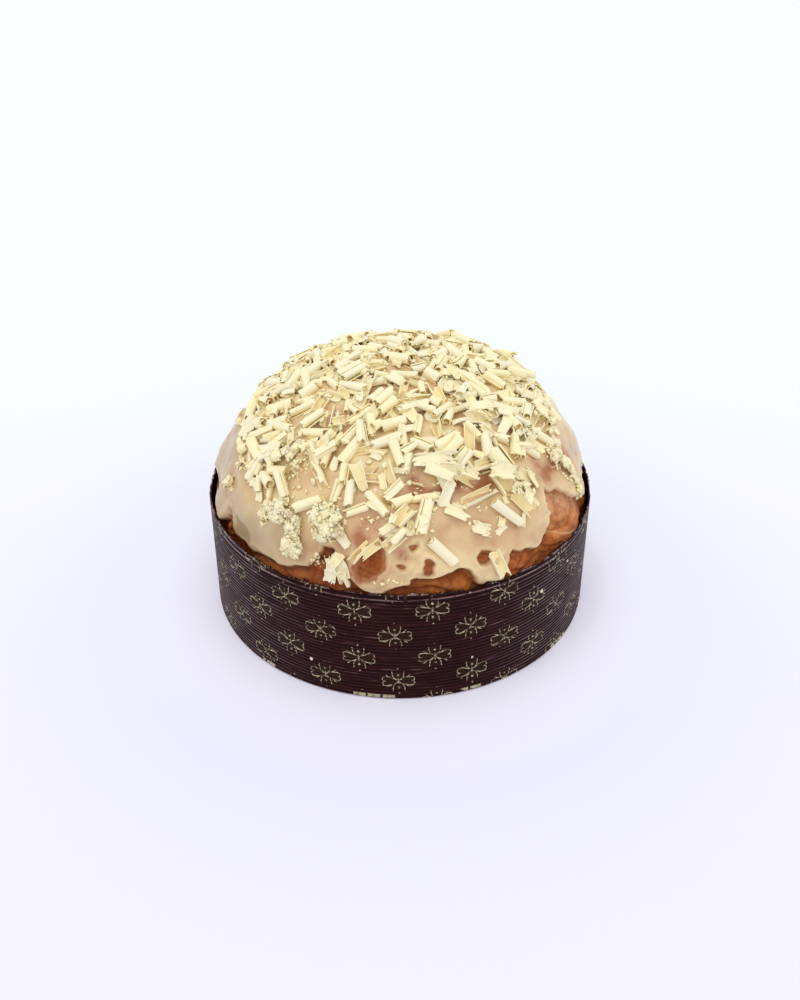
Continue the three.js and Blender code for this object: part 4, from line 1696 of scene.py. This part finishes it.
    def crumb_lies(self) -> list[Lie]:
        """Returns how the crumbs lie that have fallen here and there."""
        lies = []
        for i in range(self.crumbs):
            bearing = between(0, 360, i, 61)
            angle = self.reach_at(bearing) * 1.03 * between(0.0, 1.0, i, 62) ** 0.65
            lies.append(self.crumb(bearing, angle, i + 9000))
        return lies

    def crumb(self, bearing: float, angle: float, index: int, scale: float = 1.0) -> Lie:
        """Returns how one crumb lies."""
        size = scale * (1.2 + 2.3 * draw(index, 71) ** 2)
        width, heading = size * between(0.5, 0.9, index, 73), between(0, 180, index, 72)
        return Lie(Form.CRUMB, bearing, angle, heading, size, width, between(-180, 180, index, 74), index)

    def place(self, lie: Lie, pile: Pile, loose: float) -> np.ndarray | None:
        """Finds where a shaving comes to rest: of several places near its own, it takes the lowest.

        Args:
            lie: How it is to lie.
            pile: What it falls on.
            loose: How far it may slide from its own place, in mm.

        Returns:
            The matrix that takes its model there, or nothing where the pile is too high for it.
        """
        half, radius = lie.length * MM / 2, lie.width * MM / 2
        flat = lie.form not in (Form.ROLL, Form.TROUGH)
        rests = []
        tries = self.crumb_tries if lie.form is Form.CRUMB else self.tries
        tries = tries if loose else 1
        for k in range(tries):
            slide = loose * MM * math.sqrt(k / tries)
            turn = math.tau * draw(lie.variant + k, 91)
            angle = lie.angle + slide * math.cos(turn) / float(DOME.along(np.array(lie.angle)))
            bearing = lie.bearing + slide * math.sin(turn) / float(DOME.around(np.array(max(lie.angle, 3))))
            angle, bearing = np.array(max(angle, 0.5)), np.array(bearing)
            up, turn = DOME.normals(bearing, angle), math.radians(float(bearing))
            downhill = np.cross(np.array([-math.sin(turn), math.cos(turn), 0.0]), up)
            heading = math.radians(lie.heading + k * loose * self.swing * (draw(lie.variant + k, 92) - 0.5))
            along = math.cos(heading) * downhill + math.sin(heading) * np.cross(up, downhill)
            rests.append(pile.fit(DOME.points(bearing, angle), up, along, half, radius, flat))
        lowest = min(rests, key=lambda rest: rest.level + self.steep_cost * abs(rest.slope))
        if loose > 1 and lowest.level > self.highest:
            return None
        return pile.lay(lowest, half, PROPS.get(lie.form, FLAT_PROP) * radius, SINKS[flat])

    def shaped(self, lie: Lie, model: Model) -> np.ndarray:
        """Returns a model's vertices at its size, tapered, bowed, turned and with its lowest point at 0."""
        radius = lie.width * MM / 2
        points = model.points * np.array([radius, radius, lie.length * MM])
        points[:, :2] *= (1 + between(-0.4, 0.4, lie.variant, 82) * model.points[:, 2:])
        points[:, 1] += between(-0.5, 0.5, lie.variant, 83) * radius * model.points[:, 2] ** 2
        spin = math.radians(lie.turn * SPINS.get(lie.form, 0.0))
        cos, sin = math.cos(spin), math.sin(spin)
        points[:, :2] = points[:, :2] @ np.array([[cos, sin], [-sin, cos]])
        points[:, 1] -= points[:, 1].min()
        return points

    def build(self, ground: list[bpy.types.Object], grain: bpy.types.NodeTree) -> list[bpy.types.Object]:
        """Models the kinds of shaving, lays them all down and joins each kind.

        Args:
            ground: The pieces that they lie on.
            grain: The shared group for fine grain.

        Returns:
            One piece for each kind.
        """
        models = {kind.form: [kind.model(seed) for seed in range(self.variants)] for kind in self.kinds}
        batches = {kind.form: Batch() for kind in self.kinds}
        pile = Pile(ground)
        # What falls in turn, and how far in mm it may slide to a lower place.
        falls = ((self.scattered_lies(), 5.0), (self.lone_lies(), 0.6), (self.bit_lies(), 6.0),
                 (self.flake_lies() + self.crumb_lies(), 2.5), (self.heap_lies(), 0.0))
        for lie, loose in ((lie, loose) for lies, loose in falls for lie in lies):
            model = models[lie.form][lie.variant % self.variants]
            matrix = self.place(lie, pile, loose)
            if matrix is None:
                continue
            placed = self.shaped(lie, model) @ matrix[:3, :3].T + matrix[:3, 3]
            # Painted shade low down near the glaze, weaker on flat pieces.
            shade_near_glaze = 0.2 if lie.form in (Form.SHARD, Form.SHEET) else 0.8
            batches[lie.form].add(placed, model, draw(lie.variant, 81), shade_near_glaze * pile.lowness(placed))
        material = self.finish.material(grain)
        pieces = []
        for kind in self.kinds:
            crease = self.crease if isinstance(kind, Shaving) else 180.0
            piece = batches[kind.form].to_object(self.clump_relief if kind.form is Form.CLUMP else 0.0)
            name = kind.form.value
            pieces.append(present(piece, name, "icing_and_curls", material, crease))
        return pieces


# ---- The studio ------------------------------------------------------


@dataclass
class Studio:
    """A pale floor, soft white light from all round and the camera."""

    camera_place: tuple[float, float, float] = (0.0, -0.4196, 0.3172)
    camera_pitch: float = 32.93
    lens: float = 36.04
    floor_near: Colour = srgb(225, 222, 238)
    floor_far: Colour = srgb(227, 231, 235)
    # Painted light: a paler floor round the case, which lightens its shadow.
    floor_painted_light: Colour = srgb(245, 241, 253)
    sky: Colour = srgb(250, 252, 255)
    horizon: float = 1.1
    zenith: float = 1.13
    # Name, direction that it shines from, strength and spread in degrees of each lamp.
    lamps: tuple[tuple[str, tuple[float, float, float], float, float], ...] = (
        ("soft_sun", (-0.05, -0.45, 1.0), 0.42, 80.0),
        ("glint", (-0.25, -0.1, 1.0), 0.15, 7.0),
    )

    def floor(self) -> None:
        """Lays the floor, a little cooler towards the back, with painted light that makes it paler close to
        the case and lightens the shadow there.
        """
        bpy.ops.object.select_all(action="DESELECT")
        bpy.ops.mesh.primitive_plane_add(size=60.0, location=(0, 0, -0.05 * MM))
        floor = bpy.context.active_object
        floor.name = "floor"
        material, r, shader = new_material("pale_floor")
        away = r.node("ShaderNodeVectorMath", {0: r.place()}, operation="LENGTH")["Value"]
        colour = r.blend(r.ease(r.axis("Y"), -0.25, 0.35), self.floor_near, self.floor_far)
        # Painted light: paler close to the case, lightening its shadow.
        colour = r.blend(r.ease(away, 0.155, 0.09), colour, self.floor_painted_light)
        r.feed(shader, {"Base Color": colour, "Roughness": 0.9, "Specular IOR Level": 0.0})
        floor.data.materials.append(material)

    def sky_light(self) -> None:
        """Lights the scene from all over the sky, strongest from overhead."""
        world = bpy.context.scene.world = bpy.data.worlds.new("studio")
        world.use_nodes = True
        r = Recipe(world.node_tree)
        height = r.ease(r.axis("Z", "Generated"), 0.0, 0.75)
        strength = r.span(height, self.horizon, self.zenith)
        r.feed(world.node_tree.nodes["Background"], {"Color": (*self.sky, 1.0), "Strength": strength})

    def lights(self) -> None:
        """Adds a wide soft light from overhead, and a small one that picks out wet edges."""
        for name, direction, strength, spread in self.lamps:
            light = bpy.data.lights.new(name, "SUN")
            light.energy, light.angle = strength, math.radians(spread)
            lamp = bpy.data.objects.new(name, light)
            lamp.rotation_euler = Vector(direction).to_track_quat("Z", "Y").to_euler()
            bpy.context.scene.collection.objects.link(lamp)

    def build(self) -> None:
        """Sets up the floor, the lights and the camera."""
        self.floor()
        self.sky_light()
        self.lights()
        scene = bpy.context.scene
        scene.view_settings.view_transform = "Standard"
        lens = bpy.data.cameras.new("camera")
        lens.lens, lens.sensor_width, lens.sensor_fit = self.lens, 36.0, "AUTO"
        camera = bpy.data.objects.new("camera", lens)
        camera.location = self.camera_place
        camera.rotation_euler = (math.radians(90 - self.camera_pitch), 0, 0)
        scene.collection.objects.link(camera)
        scene.camera = camera


def main() -> None:
    """Builds the studio and every piece."""
    Studio().build()
    grain = grain_group()
    PaperCase().build()
    poured = Glaze()
    loaf = Loaf().build(grain, poured)
    glaze = poured.build(grain)
    Topping().build([glaze, loaf], grain)


if __name__ == "__main__":
    main()
